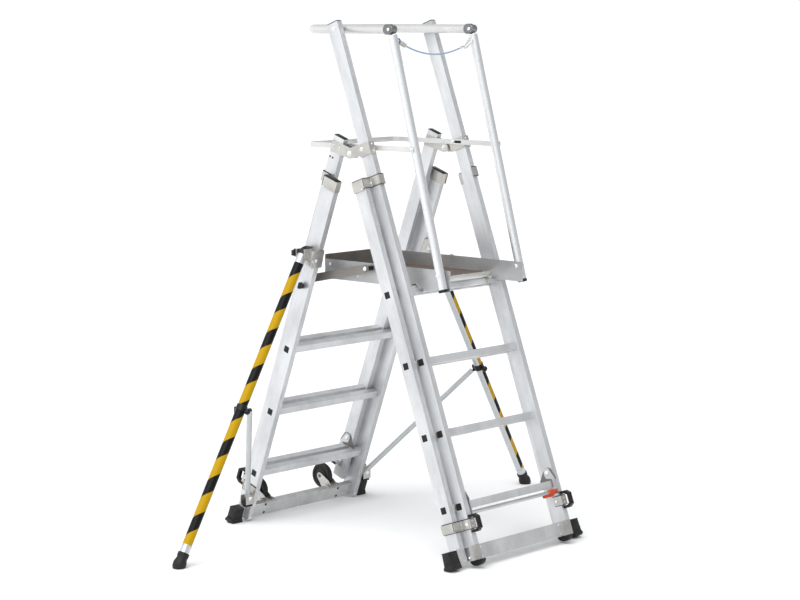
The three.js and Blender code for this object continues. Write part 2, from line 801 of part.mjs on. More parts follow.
export default ladder;
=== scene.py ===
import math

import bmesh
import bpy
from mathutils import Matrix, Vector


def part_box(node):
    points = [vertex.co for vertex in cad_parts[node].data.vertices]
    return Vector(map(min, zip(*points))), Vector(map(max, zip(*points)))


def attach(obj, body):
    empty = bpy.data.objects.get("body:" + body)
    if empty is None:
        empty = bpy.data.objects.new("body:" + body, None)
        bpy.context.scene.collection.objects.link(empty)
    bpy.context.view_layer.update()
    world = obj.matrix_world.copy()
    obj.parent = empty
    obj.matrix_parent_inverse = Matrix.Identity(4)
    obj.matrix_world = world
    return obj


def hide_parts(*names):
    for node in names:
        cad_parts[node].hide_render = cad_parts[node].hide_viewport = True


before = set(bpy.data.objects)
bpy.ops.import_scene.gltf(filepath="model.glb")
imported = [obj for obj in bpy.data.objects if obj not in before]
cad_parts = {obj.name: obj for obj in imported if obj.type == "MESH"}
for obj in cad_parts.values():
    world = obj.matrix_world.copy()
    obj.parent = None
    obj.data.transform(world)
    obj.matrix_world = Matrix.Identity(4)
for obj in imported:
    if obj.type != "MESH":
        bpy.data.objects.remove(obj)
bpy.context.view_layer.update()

# Looks for a folding, telescopic platform ladder: finishes on the CAD nodes, and the small parts that the
# CAD leaves out. Lengths are written in millimetres in one of three drawings, and each drawing's matrix
# turns them into the row frame's metres:
#   MODEL  x along the rungs, y from the front frame to the rear one, z up
#   FRONT, REAR  x along the rungs, n towards the other frame, s down the stile from the hinge pin

MM = 0.001

# ---------------------------------------------------------------- the drawing's driving dimensions
LEAN = math.radians(20)
PIN_Z = 1527
PITCH = 280
FIRST_RUNG = 1415
TOP_RUNG = FIRST_RUNG - 3 * PITCH
STILE_W = 25
UPPER_OUT, UPPER_IN = 286, 261
UPPER_N = (-107, -51)
UPPER_RUNG_N = -79
POST_TOP = -505
REAR_TOP = -36
LOWER_OUT, LOWER_IN = 322, 297
LOWER_TOP = 119
LOWER_RUNG_N = -31
LOWER_N = {"front": (-62, -6), "rear": (-69, 1)}
SHEET = 2.5
GUIDE = (119, 155)
CLIP = (1468, 1504)
STAND_OFF = {"lower": 6, "upper": 8}
CLIP_INNER = -74
BEAM = {"front": ((-88, -40), (1566, 1621)), "rear": ((-44, -20), (1565, 1622))}
DECK_HALF, DECK_FRONT, DECK_BACK, DECK_TOP, DECK_UNDER = 213, -288, 205, 1047, 1035
RAIL_X, RAIL_R, RAIL_Z = 234.3, 17.5, 2005
KNUCKLE_Y = -168
TUBE_END = (-433, 1024)
KNEE_X, KNEE_T, KNEE_Z = 254.8, 5, 1552
LINK_X, LINK_T = 252.4, 4.7
POLE_TOP = Vector((368, 183, 1128))
POLE_TIP = Vector((1025, 190, 0))
POLE_R = 19
CLAMP_AT = 644
TIP_LENGTH = 62
STAY_FOOT = Vector((345, 528, 108))
CASTOR_X, CASTOR_N, CASTOR_S = 190, -103, 1552
BOOT_N = {"front": (-62, -27), "rear": (-52, -15)}
BOOT_X, BOOT_S, BOOT_FLARE = (340, 388), (1567, 1618), 8
BOOT_TREAD, BOOT_LIFT = -38, 4
LEVER_FACE = 254.8
ROD_N, ROD_S, ROD_R = -103.5, 1446, 7

SHIFT_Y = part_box("deck")[0].y / MM - DECK_FRONT
MODEL = Matrix.Scale(MM, 4) @ Matrix.Translation((0, SHIFT_Y, 0))
SIDES = {"l": -1, "r": 1}


def leaning(sign):
    """The drawing of the front (1) or rear (-1) frame, in the model's drawing."""
    c, s = math.cos(LEAN), math.sin(LEAN)
    rows = ((1, 0, 0, 0), (0, sign * c, -sign * s, 0), (0, -s, -c, PIN_Z), (0, 0, 0, 1))
    return Matrix(rows)


FRAMES = {"front": MODEL @ leaning(1), "rear": MODEL @ leaning(-1)}


def span(sign, a, b):
    """The two places a and b on one side of the ladder, the lower x first."""
    return sorted((sign * a, sign * b))


def in_model(which, n, s):
    """(y, z) in the model's drawing of a point of a leaning frame."""
    p = leaning(1 if which == "front" else -1) @ Vector((0, n, s))
    return p.y, p.z


# ---------------------------------------------------------------- camera
CAMERA_AT = Vector((-6.4835, -5.9457, 2.0701))  # metres, from the drawing's origin
CAMERA_TILT, CAMERA_TURN = math.radians(84.9), math.radians(-47.46)
CAMERA_LENS, CAMERA_SHIFT = 100.19, -0.1112


def add_camera():
    """The photograph's camera, as fitted to the ladder's main points."""
    data = bpy.data.cameras.new("camera")
    camera = bpy.data.objects.new("camera", data)
    bpy.context.scene.collection.objects.link(camera)
    camera.location = CAMERA_AT + Vector((0, SHIFT_Y * MM, 0))
    camera.rotation_euler = (CAMERA_TILT, 0, CAMERA_TURN)
    data.sensor_width = 36
    data.lens = CAMERA_LENS
    data.shift_y = CAMERA_SHIFT
    data.clip_end = 200
    bpy.context.scene.camera = camera


# ---------------------------------------------------------------- material nodes
def add_node(tree, kind, inputs, output=0, **settings):
    """Adds a shader node, sets or links its inputs, and returns one of its outputs."""
    node = tree.nodes.new("ShaderNode" + kind)
    for key, value in settings.items():
        setattr(node, key, value)
    for key, value in inputs.items():
        if isinstance(value, bpy.types.NodeSocket):
            tree.links.new(value, node.inputs[key])
        else:
            node.inputs[key].default_value = value
    return node.outputs[output]


class Finish:
    """A material under construction: a Principled shader and the nodes that feed it."""

    def __init__(self, name, **sockets):
        self.material = bpy.data.materials.new(name)
        self.material.use_nodes = True
        self.tree = self.material.node_tree
        self.shader = self.tree.nodes["Principled BSDF"]
        for socket, value in sockets.items():
            self.shader.inputs[socket.replace("_", " ")].default_value = value

    def add(self, kind, inputs=None, output=0, **settings):
        return add_node(self.tree, kind, inputs or {}, output, **settings)

    def set(self, socket, source):
        self.tree.links.new(source, self.shader.inputs[socket])

    def place(self, turn=0.0, scale=(1, 1, 1)):
        """Object coordinates, turned about X so that Z runs along a leaning stile, then scaled."""
        coords = self.add("TexCoord", output="Object")
        turned = self.add("VectorRotate", {"Vector": coords, "Angle": turn}, rotation_type="X_AXIS")
        return self.add("Mapping", {"Vector": turned, "Scale": scale}, vector_type="POINT")

    def noise(self, vector, scale, detail=3.0, rough=0.5):
        inputs = {"Vector": vector, "Scale": scale, "Detail": detail, "Roughness": rough}
        return self.add("TexNoise", inputs)

    def math(self, operation, a, b=0.0, c=0.0):
        return self.add("Math", {0: a, 1: b, 2: c}, operation=operation)

    def ramp(self, source, low, high, out_low=0.0, out_high=1.0):
        names = ("Value", "From Min", "From Max", "To Min", "To Max")
        return self.add("MapRange", dict(zip(names, (source, low, high, out_low, out_high))), clamp=True)

    def mix(self, share, a, b, blend="MIX"):
        return self.add("Mix", {0: share, 6: a, 7: b}, 2, data_type="RGBA", blend_type=blend)

    def shaded(self, tone, level):
        """A tone, darkened or lightened by a level."""
        grey_level = self.add("CombineColor", {0: level, 1: level, 2: level})
        return self.mix(1.0, (*tone, 1), grey_level, "MULTIPLY")

    def bump(self, height, distance, normal=None, strength=1.0):
        inputs = {"Height": height, "Distance": distance, "Strength": strength}
        if normal is not None:
            inputs["Normal"] = normal
        return self.add("Bump", inputs)

    def rounded(self, radius):
        """The normal with edges rounded to a radius."""
        return self.add("Bevel", {"Radius": radius}, samples=4)


def grey(level, alpha=1.0):
    return (level, level, level, alpha)


def aluminium(name, turn, grain, ribs=None, tone=(0.74, 0.75, 0.765), rough=0.34, patina=0.2):
    """Extruded aluminium: grain drawn out along the profile, cloudy dull patches and faint scratches."""
    f = Finish(name, Metallic=0.8, Roughness=rough, IOR=1.5)
    drawn = f.noise(f.place(turn, grain), 1.0, 4.0, 0.6)
    cloud = f.noise(f.place(turn, (9, 9, 4)), 1.0, 4.0, 0.62)
    spots = f.noise(f.place(turn, (60, 60, 38)), 1.0, 2.0, 0.5)
    dull = f.ramp(cloud, 0.36, 0.66)
    lines = f.ramp(drawn, 0.3, 0.7, 1.0 - patina * 0.5, 1.0)
    shade = f.ramp(dull, 0, 1, 1.0, 1.0 - patina)
    fleck = f.ramp(spots, 0.62, 0.75, 1.0, 0.94)
    level = f.math("MULTIPLY", f.math("MULTIPLY", lines, shade), fleck)
    f.set("Base Color", f.shaded(tone, level))
    base = f.math("MULTIPLY_ADD", dull, 0.14, rough - 0.05)
    f.set("Roughness", f.math("MULTIPLY_ADD", drawn, 0.16, base))
    normal = f.bump(drawn, 0.00012, f.rounded(0.0012))
    if ribs is not None:
        pitch, across = ribs
        vector = f.place(turn, tuple(1.0 if c in across else 0.0 for c in "xyz"))
        parts = f.add("SeparateXYZ", {"Vector": vector}, output=0)
        axes = parts.node.outputs
        total = f.math("ADD", f.math("ADD", axes[0], axes[1]), axes[2])
        wave = f.math("SINE", f.math("MULTIPLY", total, 2 * math.pi / pitch))
        normal = f.bump(wave, 0.00018, normal, 0.7)
    f.set("Normal", normal)
    return f.material


def brushed_sheet(name, tone, rough, metallic=0.85, turn=0.0, grain=(4, 4, 260), wear=0.12):
    """Rolled or plated sheet metal with a soft grain, smears and lighter edges."""
    f = Finish(name, Metallic=metallic, Roughness=rough, IOR=1.5)
    drawn = f.noise(f.place(turn, grain), 1.0, 3.0, 0.6)
    cloud = f.noise(f.place(turn, (7, 7, 11)), 1.0, 4.0, 0.65)
    smears = f.ramp(cloud, 0.3, 0.7, 1.0 - wear, 1.0 + wear)
    level = f.math("MULTIPLY", smears, f.ramp(drawn, 0.3, 0.7, 0.95, 1.03))
    f.set("Base Color", f.shaded(tone, level))
    f.set("Roughness", f.math("MULTIPLY_ADD", cloud, 0.22, rough - 0.1))
    f.set("Normal", f.bump(drawn, 0.00006, f.rounded(0.0008)))
    return f.material


def moulded(name, tone, rough, grain=900, mottling=0.25, depth=0.00008, edge=0.001):
    """Moulded plastic or rubber: fine grained skin and slight colour mottling."""
    f = Finish(name, Roughness=rough, IOR=1.48, Specular_IOR_Level=0.3)
    skin = f.noise(f.place(0.0, (grain, grain, grain)), 1.0, 2.0, 0.5)
    cloud = f.noise(f.place(0.0, (24, 24, 24)), 1.0, 4.0, 0.6)
    dust = f.ramp(cloud, 0.35, 0.7)
    lighter = tuple(min(1.0, c * (1 + mottling) + 0.012 * mottling) for c in tone)
    f.set("Base Color", f.mix(dust, (*tone, 1), (*lighter, 1)))
    f.set("Roughness", f.math("MULTIPLY_ADD", dust, 0.14, rough - 0.06))
    f.set("Normal", f.bump(skin, depth, f.rounded(edge)))
    return f.material


def plywood():
    """Film-faced plywood: a dark brown wire-mesh film on its faces, orange-brown plies on its edges."""
    f = Finish("deck_plywood", Roughness=0.5)
    plain = f.place()
    axes = f.add("SeparateXYZ", {"Vector": plain}).node.outputs
    cell = 0.0055
    waves = [f.math("SINE", f.math("MULTIPLY", axes[i], 2 * math.pi / cell)) for i in (0, 1)]
    mesh = f.math("MULTIPLY", waves[0], waves[1])
    stain = f.noise(f.place(0.0, (6, 6, 6)), 1.0, 5.0, 0.6)
    film = f.mix(f.ramp(stain, 0.3, 0.7), (0.075, 0.048, 0.034, 1), (0.115, 0.076, 0.052, 1))
    ply = f.math("SINE", f.math("MULTIPLY", axes[2], 2 * math.pi / 0.0024))
    fibre = f.noise(f.place(0.0, (180, 180, 900)), 1.0, 3.0, 0.6)
    grain = f.mix(f.ramp(fibre, 0.3, 0.7), (0.42, 0.19, 0.075, 1), (0.62, 0.33, 0.14, 1))
    edge = f.mix(f.ramp(ply, -0.3, 0.3), (0.26, 0.115, 0.045, 1), grain)
    facing = f.add("SeparateXYZ", {"Vector": f.add("TexCoord", output="Normal")}, output=2)
    flat = f.math("GREATER_THAN", f.math("ABSOLUTE", facing), 0.7)
    f.set("Base Color", f.mix(flat, edge, film))
    f.set("Normal", f.bump(mesh, 0.00025, None, 0.8))
    f.set("Roughness", f.ramp(stain, 0.3, 0.7, 0.42, 0.6))
    return f.material


TAPE_START, TAPE_END = 0.040, 1.212  # metres down the pole
TAPE_PHASE = 0.036  # where the first black stripe would begin
TAPE_PERIOD = 0.1525
TAPE_BLACK = 0.46  # the black share of a period
TAPE_LEAD = -0.018  # metres of slant per radian round the pole
TAPE_REACH = math.radians(118)  # the tape's half-angle round the pole's outer side


def hazard_tape(side):
    """Black and yellow tape down the outer side of a pole; the rest of the pole is bare aluminium."""
    f = Finish("hazard_tape_" + side, Roughness=0.35, IOR=1.5, Specular_IOR_Level=0.15)
    sign = SIDES[side]
    top = MODEL @ Vector((sign * POLE_TOP.x, POLE_TOP.y, POLE_TOP.z))
    tip = MODEL @ Vector((sign * POLE_TIP.x, POLE_TIP.y, POLE_TIP.z))
    way = (tip - top).normalized()
    outward = way.cross(Vector((0, sign, 0))).normalized()
    sideways = way.cross(outward)
    from_top = f.add("VectorMath", {0: f.add("TexCoord", output="Object"), 1: top}, operation="SUBTRACT")

    def along(axis):
        return f.add("VectorMath", {0: from_top, 1: axis}, output="Value", operation="DOT_PRODUCT")

    down = along(way)
    angle = f.math("ARCTAN2", along(sideways), along(outward))
    slanted = f.math("MULTIPLY_ADD", angle, TAPE_LEAD, down)
    phase = f.math("FRACT", f.math("DIVIDE", f.math("SUBTRACT", slanted, TAPE_PHASE), TAPE_PERIOD))
    wobble = f.noise(f.place(0.0, (50, 50, 50)), 1.0, 2.0, 0.5)
    black = f.math("LESS_THAN", phase, f.math("MULTIPLY_ADD", wobble, 0.01, TAPE_BLACK - 0.005))
    scuff = f.noise(f.place(0.0, (120, 120, 30)), 1.0, 5.0, 0.7)
    worn = f.ramp(scuff, 0.6, 0.78, 0.0, 0.35)
    yellow = f.mix(worn, (0.44, 0.26, 0.0, 1), (0.36, 0.22, 0.004, 1))
    dark = f.mix(worn, (0.005, 0.005, 0.0055, 1), (0.04, 0.04, 0.042, 1))
    outside = f.math("LESS_THAN", f.math("ABSOLUTE", angle), TAPE_REACH)
    length = f.math("MULTIPLY", f.math("GREATER_THAN", down, TAPE_START), f.math("LESS_THAN", down, TAPE_END))
    taped = f.math("MULTIPLY", outside, length)
    streak = f.noise(f.place(0.0, (300, 300, 14)), 1.0, 3.0, 0.6)
    bare = f.mix(f.ramp(streak, 0.3, 0.7), (0.52, 0.54, 0.56, 1), (0.64, 0.66, 0.68, 1))
    f.set("Base Color", f.mix(taped, bare, f.mix(black, yellow, dark)))
    f.set("Metallic", f.ramp(taped, 0.0, 1.0, 0.85, 0.0))
    f.set("Normal", f.bump(f.math("ADD", taped, f.math("MULTIPLY", scuff, 0.2)), 0.00025))
    f.set("Roughness", f.ramp(scuff, 0.3, 0.7, 0.28, 0.42))
    return f.material


def braid():
    """Blue braided cord with white tracer strands, drawn on the tube's own round-and-along coordinates."""
    f = Finish("rope_braid", Roughness=0.75, Sheen_Weight=0.3)
    uv = f.add("SeparateXYZ", {"Vector": f.add("UVMap", uv_map="braid")}).node.outputs
    strands = []
    for sign in (1, -1):
        lead = f.math("MULTIPLY_ADD", uv[0], sign * 4.0, f.math("MULTIPLY", uv[1], 210.0))
        strands.append(f.math("PINGPONG", lead, 0.5))
    bumpy = f.math("MAXIMUM", strands[0], strands[1])
    lead = f.math("MULTIPLY_ADD", uv[0], 1.0, f.math("MULTIPLY", uv[1], 105.0))
    tracer = f.math("LESS_THAN", f.math("FRACT", lead), 0.42)
    fuzz = f.noise(f.place(0.0, (700, 700, 700)), 1.0, 2.0, 0.6)
    blue = f.mix(fuzz, (0.035, 0.12, 0.30, 1), (0.10, 0.24, 0.45, 1))
    f.set("Base Color", f.mix(tracer, blue, (0.45, 0.55, 0.62, 1)))
    f.set("Normal", f.bump(f.math("ADD", bumpy, f.math("MULTIPLY", fuzz, 0.3)), 0.0008))
    return f.material


def floor_finish():
    f = Finish("floor_pale", Roughness=0.9)
    cloud = f.noise(f.place(0.0, (1.2, 1.2, 1.2)), 1.0, 3.0, 0.5)
    f.set("Base Color", f.mix(f.ramp(cloud, 0.3, 0.7), grey(0.90), grey(0.93)))
    return f.material


ACROSS_ALONG = (700, 700, 5)
ACROSS_RUNG = (5, 700, 700)
RIB_PITCH, RUNG_RIB_PITCH = 0.0026, 0.0035
TUBE_LEAN = math.radians(-15)
MATERIALS = {
    "front_stile": aluminium("stile_aluminium_front", LEAN, ACROSS_ALONG, (RIB_PITCH, "x")),
    "rear_stile": aluminium("stile_aluminium_rear", -LEAN, ACROSS_ALONG, (RIB_PITCH, "x")),
    "front_rung": aluminium("rung_aluminium_front", LEAN, ACROSS_RUNG, (RUNG_RIB_PITCH, "yz"), rough=0.38),
    "rear_rung": aluminium("rung_aluminium_rear", -LEAN, ACROSS_RUNG, (RUNG_RIB_PITCH, "yz"), rough=0.38),
    "beam": aluminium("beam_aluminium", LEAN, ACROSS_RUNG, None, (0.74, 0.75, 0.755), 0.38, 0.26),
    "tube": aluminium("tube_aluminium", TUBE_LEAN, ACROSS_ALONG, None, (0.78, 0.79, 0.80), 0.16, 0.08),
    "rail": aluminium("rail_aluminium", 0.0, (5, 5, 700), None, (0.70, 0.70, 0.685), 0.24, 0.1),
    "board": brushed_sheet("side_board_sheet", (0.50, 0.505, 0.51), 0.42, 0.85),
    "toe": brushed_sheet("toe_board_sheet", (0.22, 0.205, 0.185), 0.34, 0.6, wear=0.25),
    "plate": brushed_sheet("flat_steel", (0.52, 0.505, 0.475), 0.34, 0.85, grain=(90, 90, 90), wear=0.16),
    "gusset": brushed_sheet("gusset_steel", (0.20, 0.18, 0.16), 0.4, 0.8, grain=(90, 90, 90)),
    "link": brushed_sheet("link_steel", (0.27, 0.25, 0.23), 0.38, 0.85, grain=(60, 4, 200)),
    "lever": brushed_sheet("lever_steel", (0.56, 0.57, 0.58), 0.3, 0.9, grain=(5, 300, 300)),
    # bright zinc for the fixings; the same finish paints the highlights along the brackets' folded edges
    "zinc_and_fold_highlight": brushed_sheet("zinc_fixings_and_fold_highlights", (0.80, 0.83, 0.86), 0.22, 0.95, grain=(500, 500, 500)),
    # dark steel for rivets and nuts; the same finish paints the shade in the brackets' recesses
    "dark_steel_and_recess_shade": brushed_sheet("dark_rivets_and_recess_shade", (0.22, 0.215, 0.21), 0.38, 0.8, grain=(400, 400, 400)),
    "knuckle": brushed_sheet("knuckle_cast", (0.20, 0.20, 0.205), 0.44, 0.75, grain=(600, 600, 600),
                             wear=0.3),
    # black plastic for caps, plugs, liners and knobs; the same finish paints the shade in drilled holes and
    # slots
    "plastic": moulded("black_plastic", (0.006, 0.006, 0.0065), 0.34),
    "elbow": moulded("elbow_plastic", (0.008, 0.008, 0.0085), 0.16),
    "rubber": moulded("boot_rubber", (0.009, 0.0085, 0.009), 0.5, 700, 0.5, 0.00012, 0.0025),
    "wheel": moulded("wheel_rubber", (0.010, 0.0095, 0.0095), 0.5, 500, 0.5, 0.00015, 0.002),
    "orange": moulded("orange_plastic", (0.46, 0.055, 0.010), 0.4),
    "deck": plywood(),
    "tape_l": hazard_tape("l"),
    "tape_r": hazard_tape("r"),
    "pole": aluminium("pole_aluminium", 0.0, (60, 60, 5), None, (0.55, 0.57, 0.58), 0.26, 0.1),
    "braid": braid(),
    "hook": brushed_sheet("hook_steel", (0.80, 0.80, 0.79), 0.22, 0.9, grain=(500, 500, 500)),
    "ferrule": moulded("ferrule_sleeve", (0.42, 0.40, 0.36), 0.35),
    "loop": moulded("loop_cord", (0.06, 0.17, 0.36), 0.7),
    "floor": floor_finish(),
}


NODE_CREASE, PIECE_CREASE = math.radians(32), math.radians(38)


# ---------------------------------------------------------------- mesh solids, in a drawing's millimetres
def on_axis(axis, a, b, c):
    """A point from flat coordinates a, b and its place c along the axis x, y or z."""
    return {"x": (c, a, b), "y": (a, c, b), "z": (a, b, c)}[axis]


def prism(outline, axis, c0, c1, bevel=0.0, segments=2, only_caps=False):
    """A flat outline pushed from c0 to c1, with its edges rounded."""
    bm = bmesh.new()
    rings = [[bm.verts.new(on_axis(axis, a, b, c)) for a, b in outline] for c in (c0, c1)]
    bm.faces.new(rings[0])
    bm.faces.new(rings[1])
    count = len(outline)
    for i in range(count):
        j = (i + 1) % count
        bm.faces.new((rings[0][i], rings[0][j], rings[1][j], rings[1][i]))
    if bevel:
        cap = set(rings[0]), set(rings[1])
        edges = [e for e in bm.edges if not only_caps or any(set(e.verts) <= c for c in cap)]
        bmesh.ops.bevel(bm, geom=edges, offset=bevel, segments=segments, profile=0.5,
                        affect="EDGES", clamp_overlap=True)
    return bm


def block(x0, x1, y0, y1, z0, z1, bevel=1.0, segments=2):
    return prism([(x0, y0), (x1, y0), (x1, y1), (x0, y1)], "z", z0, z1, bevel, segments)


def capsule(p, q, r, sides=10):
    """The outline of a bar with round ends between two flat points."""
    along = math.atan2(q[1] - p[1], q[0] - p[0])
    outline = []
    for (a, b), start in ((q, along - math.pi / 2), (p, along + math.pi / 2)):
        turns = [start + math.pi * i / sides for i in range(sides + 1)]
        outline += [(a + r * math.cos(t), b + r * math.sin(t)) for t in turns]
    return outline


def squared(a, b, half, corner, steps=3):
    """The outline of a square with round corners."""
    outline = []
    for k, (sa, sb) in enumerate(((1, 1), (-1, 1), (-1, -1), (1, -1))):
        for i in range(steps + 1):
            t = math.pi / 2 * (k + i / steps)
            outline.append((a + sa * (half - corner) + corner * math.cos(t),
                            b + sb * (half - corner) + corner * math.sin(t)))
    return outline


def basis(way):
    """A direction and two square to it."""
    way = Vector(way).normalized()
    side = Vector((0, 0, 1)).cross(way)
    if side.length < 0.1:
        side = Vector((0, 1, 0)).cross(way)
    side.normalize()
    return way, side, way.cross(side)


def ring_round(bm, centre, side, other, r, sides):
    """New vertices on a circle."""
    turns = [2 * math.pi * i / sides for i in range(sides)]
    return [bm.verts.new(centre + side * r * math.cos(t) + other * r * math.sin(t)) for t in turns]


def turned(profile, foot, way, sides=28):
    """A turned solid: profile is (radius, height) pairs from one end of the axis to the other."""
    way, side, other = basis(way)
    bm = bmesh.new()
    rings = []
    for r, h in profile:
        centre = Vector(foot) + way * h
        if r < 1e-6:
            rings.append([bm.verts.new(centre)])
            continue
        rings.append(ring_round(bm, centre, side, other, r, sides))
    for low, high in zip(rings, rings[1:]):
        for i in range(sides):
            j = (i + 1) % sides
            corners = [low[i % len(low)], low[j % len(low)], high[j % len(high)], high[i % len(high)]]
            unique = list(dict.fromkeys(corners))
            if len(unique) > 2:
                bm.faces.new(unique)
    for ring in (rings[0], rings[-1]):
        if len(ring) > 1:
            bm.faces.new(ring)
    return bm


def swept(points, r, sides=12, closed=False):
    """A round bar along a line of points."""
    points = [Vector(p) for p in points]
    count = len(points)
    bm = bmesh.new()
    rings = []
    way, side, _ = basis(points[1] - points[0])
    for i, p in enumerate(points):
        before = points[(i - 1) % count] if closed else points[max(i - 1, 0)]
        after = points[(i + 1) % count] if closed else points[min(i + 1, count - 1)]
        way = (after - before).normalized()
        side = (side - way * side.dot(way)).normalized()
        other = way.cross(side)
        rings.append(ring_round(bm, p, side, other, r, sides))
    pairs = list(zip(rings, rings[1:]))
    if closed:
        pairs.append((rings[-1], rings[0]))
    else:
        bm.faces.new(rings[0])
        bm.faces.new(rings[-1])
    for low, high in pairs:
        for k in range(sides):
            m = (k + 1) % sides
            bm.faces.new((low[k], low[m], high[m], high[k]))
    return bm


def bolt(foot, way, r=6.5, washer=True):
    """A domed hexagon bolt head on a washer, standing on foot."""
    parts = []
    lift = 0.0
    if washer:
        parts.append(turned([(r * 1.5, 0), (r * 1.5, 1.0), (r * 1.35, 1.5), (0, 1.5)], foot, way, 24))
        lift = 1.5
    profile = [(r, lift), (r, lift + 0.55 * r), (r * 0.82, lift + 0.72 * r), (0, lift + 0.74 * r)]
    return parts + [turned(profile, foot, way, 6)]


def rivet(foot, way, r=4.0):
    """A low domed rivet head."""
    profile = [(r, 0), (r, r * 0.16), (r * 0.8, r * 0.42), (r * 0.42, r * 0.56), (0, r * 0.6)]
    return [turned(profile, foot, way, 16)]


def hole_shade(foot, way, r=5.0):
    """A drilled hole's rim: a low ring round a flat bottom, both made black where used, as painted shade of
    the hole.
    """
    return [turned([(r + 1.2, 0), (r + 1.0, 0.5), (r, 0.5), (r * 0.98, 0.15), (0, 0.15)], foot, way, 20)]


def piece(name, body, material, solids, place=MODEL, replaces=()):
    """Joins solids into one mesh object that rides on a CAD body."""
    mesh = bpy.data.meshes.new(name)
    whole = bmesh.new()
    for solid in solids:
        bmesh.ops.recalc_face_normals(solid, faces=solid.faces)
        part = bpy.data.meshes.new("part")
        solid.to_mesh(part)
        solid.free()
        whole.from_mesh(part)
        bpy.data.meshes.remove(part)
    whole.transform(place)
    if place.determinant() < 0:
        bmesh.ops.reverse_faces(whole, faces=whole.faces)
    whole.to_mesh(mesh)
    whole.free()
    mesh.polygons.foreach_set("use_smooth", [True] * len(mesh.polygons))
    mesh.set_sharp_from_angle(angle=PIECE_CREASE)
    mesh.materials.append(MATERIALS[material])
    made = bpy.data.objects.new(name, mesh)
    bpy.context.scene.collection.objects.link(made)
    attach(made, body)
    if replaces:
        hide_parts(*replaces)
    return made


# ---------------------------------------------------------------- finishes on the CAD nodes
SLACK = 0.06


def dress(node, *materials, pick=None):
    """Gives a CAD node its materials. pick says, from a face's middle, which of them it takes."""
    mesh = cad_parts[node].data
    mesh.materials.clear()
    for material in materials:
        mesh.materials.append(MATERIALS[material])
    if pick is not None:
        mesh.polygons.foreach_set("material_index", [pick(p.center) for p in mesh.polygons])
    mesh.polygons.foreach_set("use_smooth", [True] * len(mesh.polygons))
    mesh.set_sharp_from_angle(angle=NODE_CREASE)


def outside_stile(which, out, n_range):
    """A test that is 1 for a face that isn't on the stile's own extrusion."""
    to_drawing = FRAMES[which].inverted()
    inner = out - STILE_W

    def test(point):
        p = to_drawing @ point
        x = abs(p.x)
        inside = inner - SLACK < x < out + SLACK and n_range[0] - SLACK < p.y < n_range[1] + SLACK
        foot = x > out and p.z > BOOT_S[0] - 1
        return 0 if inside or foot else 1

    return test


def dress_frames():
    """Finishes of both frames' stiles, rungs, latches, levers and beams."""
    for which, count in (("front", 4), ("rear", 3)):
        stile, rung = which + "_stile", which + "_rung"
        upper = "front_post" if which == "front" else "rear_upper_stile"
        for side in SIDES:
            dress(f"{upper}_{side}", stile, "plate", pick=outside_stile(which, UPPER_OUT, UPPER_N))
            pick = outside_stile(which, LOWER_OUT, LOWER_N[which])
            dress(f"{which}_lower_stile_{side}", stile, "plate", pick=pick)
            dress(f"{which}_latch_{side}", "plastic")
        for i in range(1, count + 1):
            dress(f"{which}_upper_rung_{i}", rung)
            dress(f"{which}_lower_rung_{i}", rung)
        dress(f"{which}_release_lever", "lever")
    dress("front_base_beam", "beam", "rubber", "plate", pick=front_beam_finish())
    dress("rear_base_beam", "beam", "plate", pick=rear_beam_finish())


def front_beam_finish():
    """The front beam is aluminium, the half-round feet under it are rubber and its stubs are greyer."""
    to_drawing = FRAMES["front"].inverted()
    (n0, _), (_, s1) = BEAM["front"]

    def test(point):
        p = to_drawing @ point
        if p.z > s1 + SLACK:
            return 1
        return 2 if p.y < n0 - SLACK else 0

    return test


def rear_beam_finish():
    """The rear beam is aluminium and the castor forks welded to it are plated steel."""
    to_drawing = FRAMES["rear"].inverted()
    (n0, _), (s0, _) = BEAM["rear"]

    def test(point):
        p = to_drawing @ point
        welded = p.y < n0 - SLACK or p.z < s0 - SLACK
        return int(welded and abs(p.x) < UPPER_IN)

    return test


def dress_rest():
    """Finishes of everything but the two frames."""
    plain = {"deck": "deck", "toe_board": "toe", "top_rail": "rail", "knee_rail": "rail"}
    for node, material in plain.items():
        dress(node, material)
    pairs = {
        "side_board": "board", "rail_knuckle": "knuckle", "down_tube": "tube", "link_bar": "link",
        "outrigger_clamp": "plastic", "outrigger_stay": "pole", "outrigger_foot": "rubber",
        "castor_wheel": "wheel", "star_knob": "plastic",
    }
    for side in SIDES:
        for node, material in pairs.items():
            dress(f"{node}_{side}", material)
        dress(f"outrigger_pole_{side}", f"tape_{side}")


# ---------------------------------------------------------------- rope gate
ROPE_Y, ROPE_Z, ROPE_SAG, ROPE_R = -186, 1958, 50, 3
ROPE_X = (-212, 142)
HOOK_END, HOOK_HALF, HOOK_WIRE = 214, 12, 3.2


def rope_point(x):
    """A point of the hanging rope: a parabola, level with its near end at x = ROPE_X[0]."""
    return Vector((x, ROPE_Y, ROPE_Z - ROPE_SAG * (1 - (x / ROPE_X[0]) ** 2)))


def rope_gate():
    """The braided cord between its crimped eye on the near tube and the snap hook on the far one."""
    steps = 36
    points = [rope_point(ROPE_X[0] + (ROPE_X[1] - ROPE_X[0]) * i / steps) for i in range(steps + 1)]
    tube = swept(points, ROPE_R, 12)
    rope = piece("gate_rope_braid", "gate_frame", "braid", [tube], replaces=["gate_rope"])
    unwrap_tube(rope.data, points)

    hook = snap_hook()
    eye = rope_eye(points)


def unwrap_tube(mesh, points):
    """Coordinates round (0 to 1) and along (metres) a swept tube, face by face."""
    layer = mesh.uv_layers.new(name="braid")
    lengths = [0.0]
    for a, b in zip(points, points[1:]):
        lengths.append(lengths[-1] + (b - a).length * MM)
    sides = len(mesh.vertices) // len(points)
    for polygon in mesh.polygons:
        corners = [mesh.loops[i].vertex_index for i in polygon.loop_indices]
        rounds = [(v % sides) / sides for v in corners]
        if max(rounds) - min(rounds) > 0.5:
            rounds = [r + 1 if r < 0.5 else r for r in rounds]
        for i, v, r in zip(polygon.loop_indices, corners, rounds):
            layer.data[i].uv = (r, lengths[v // sides])


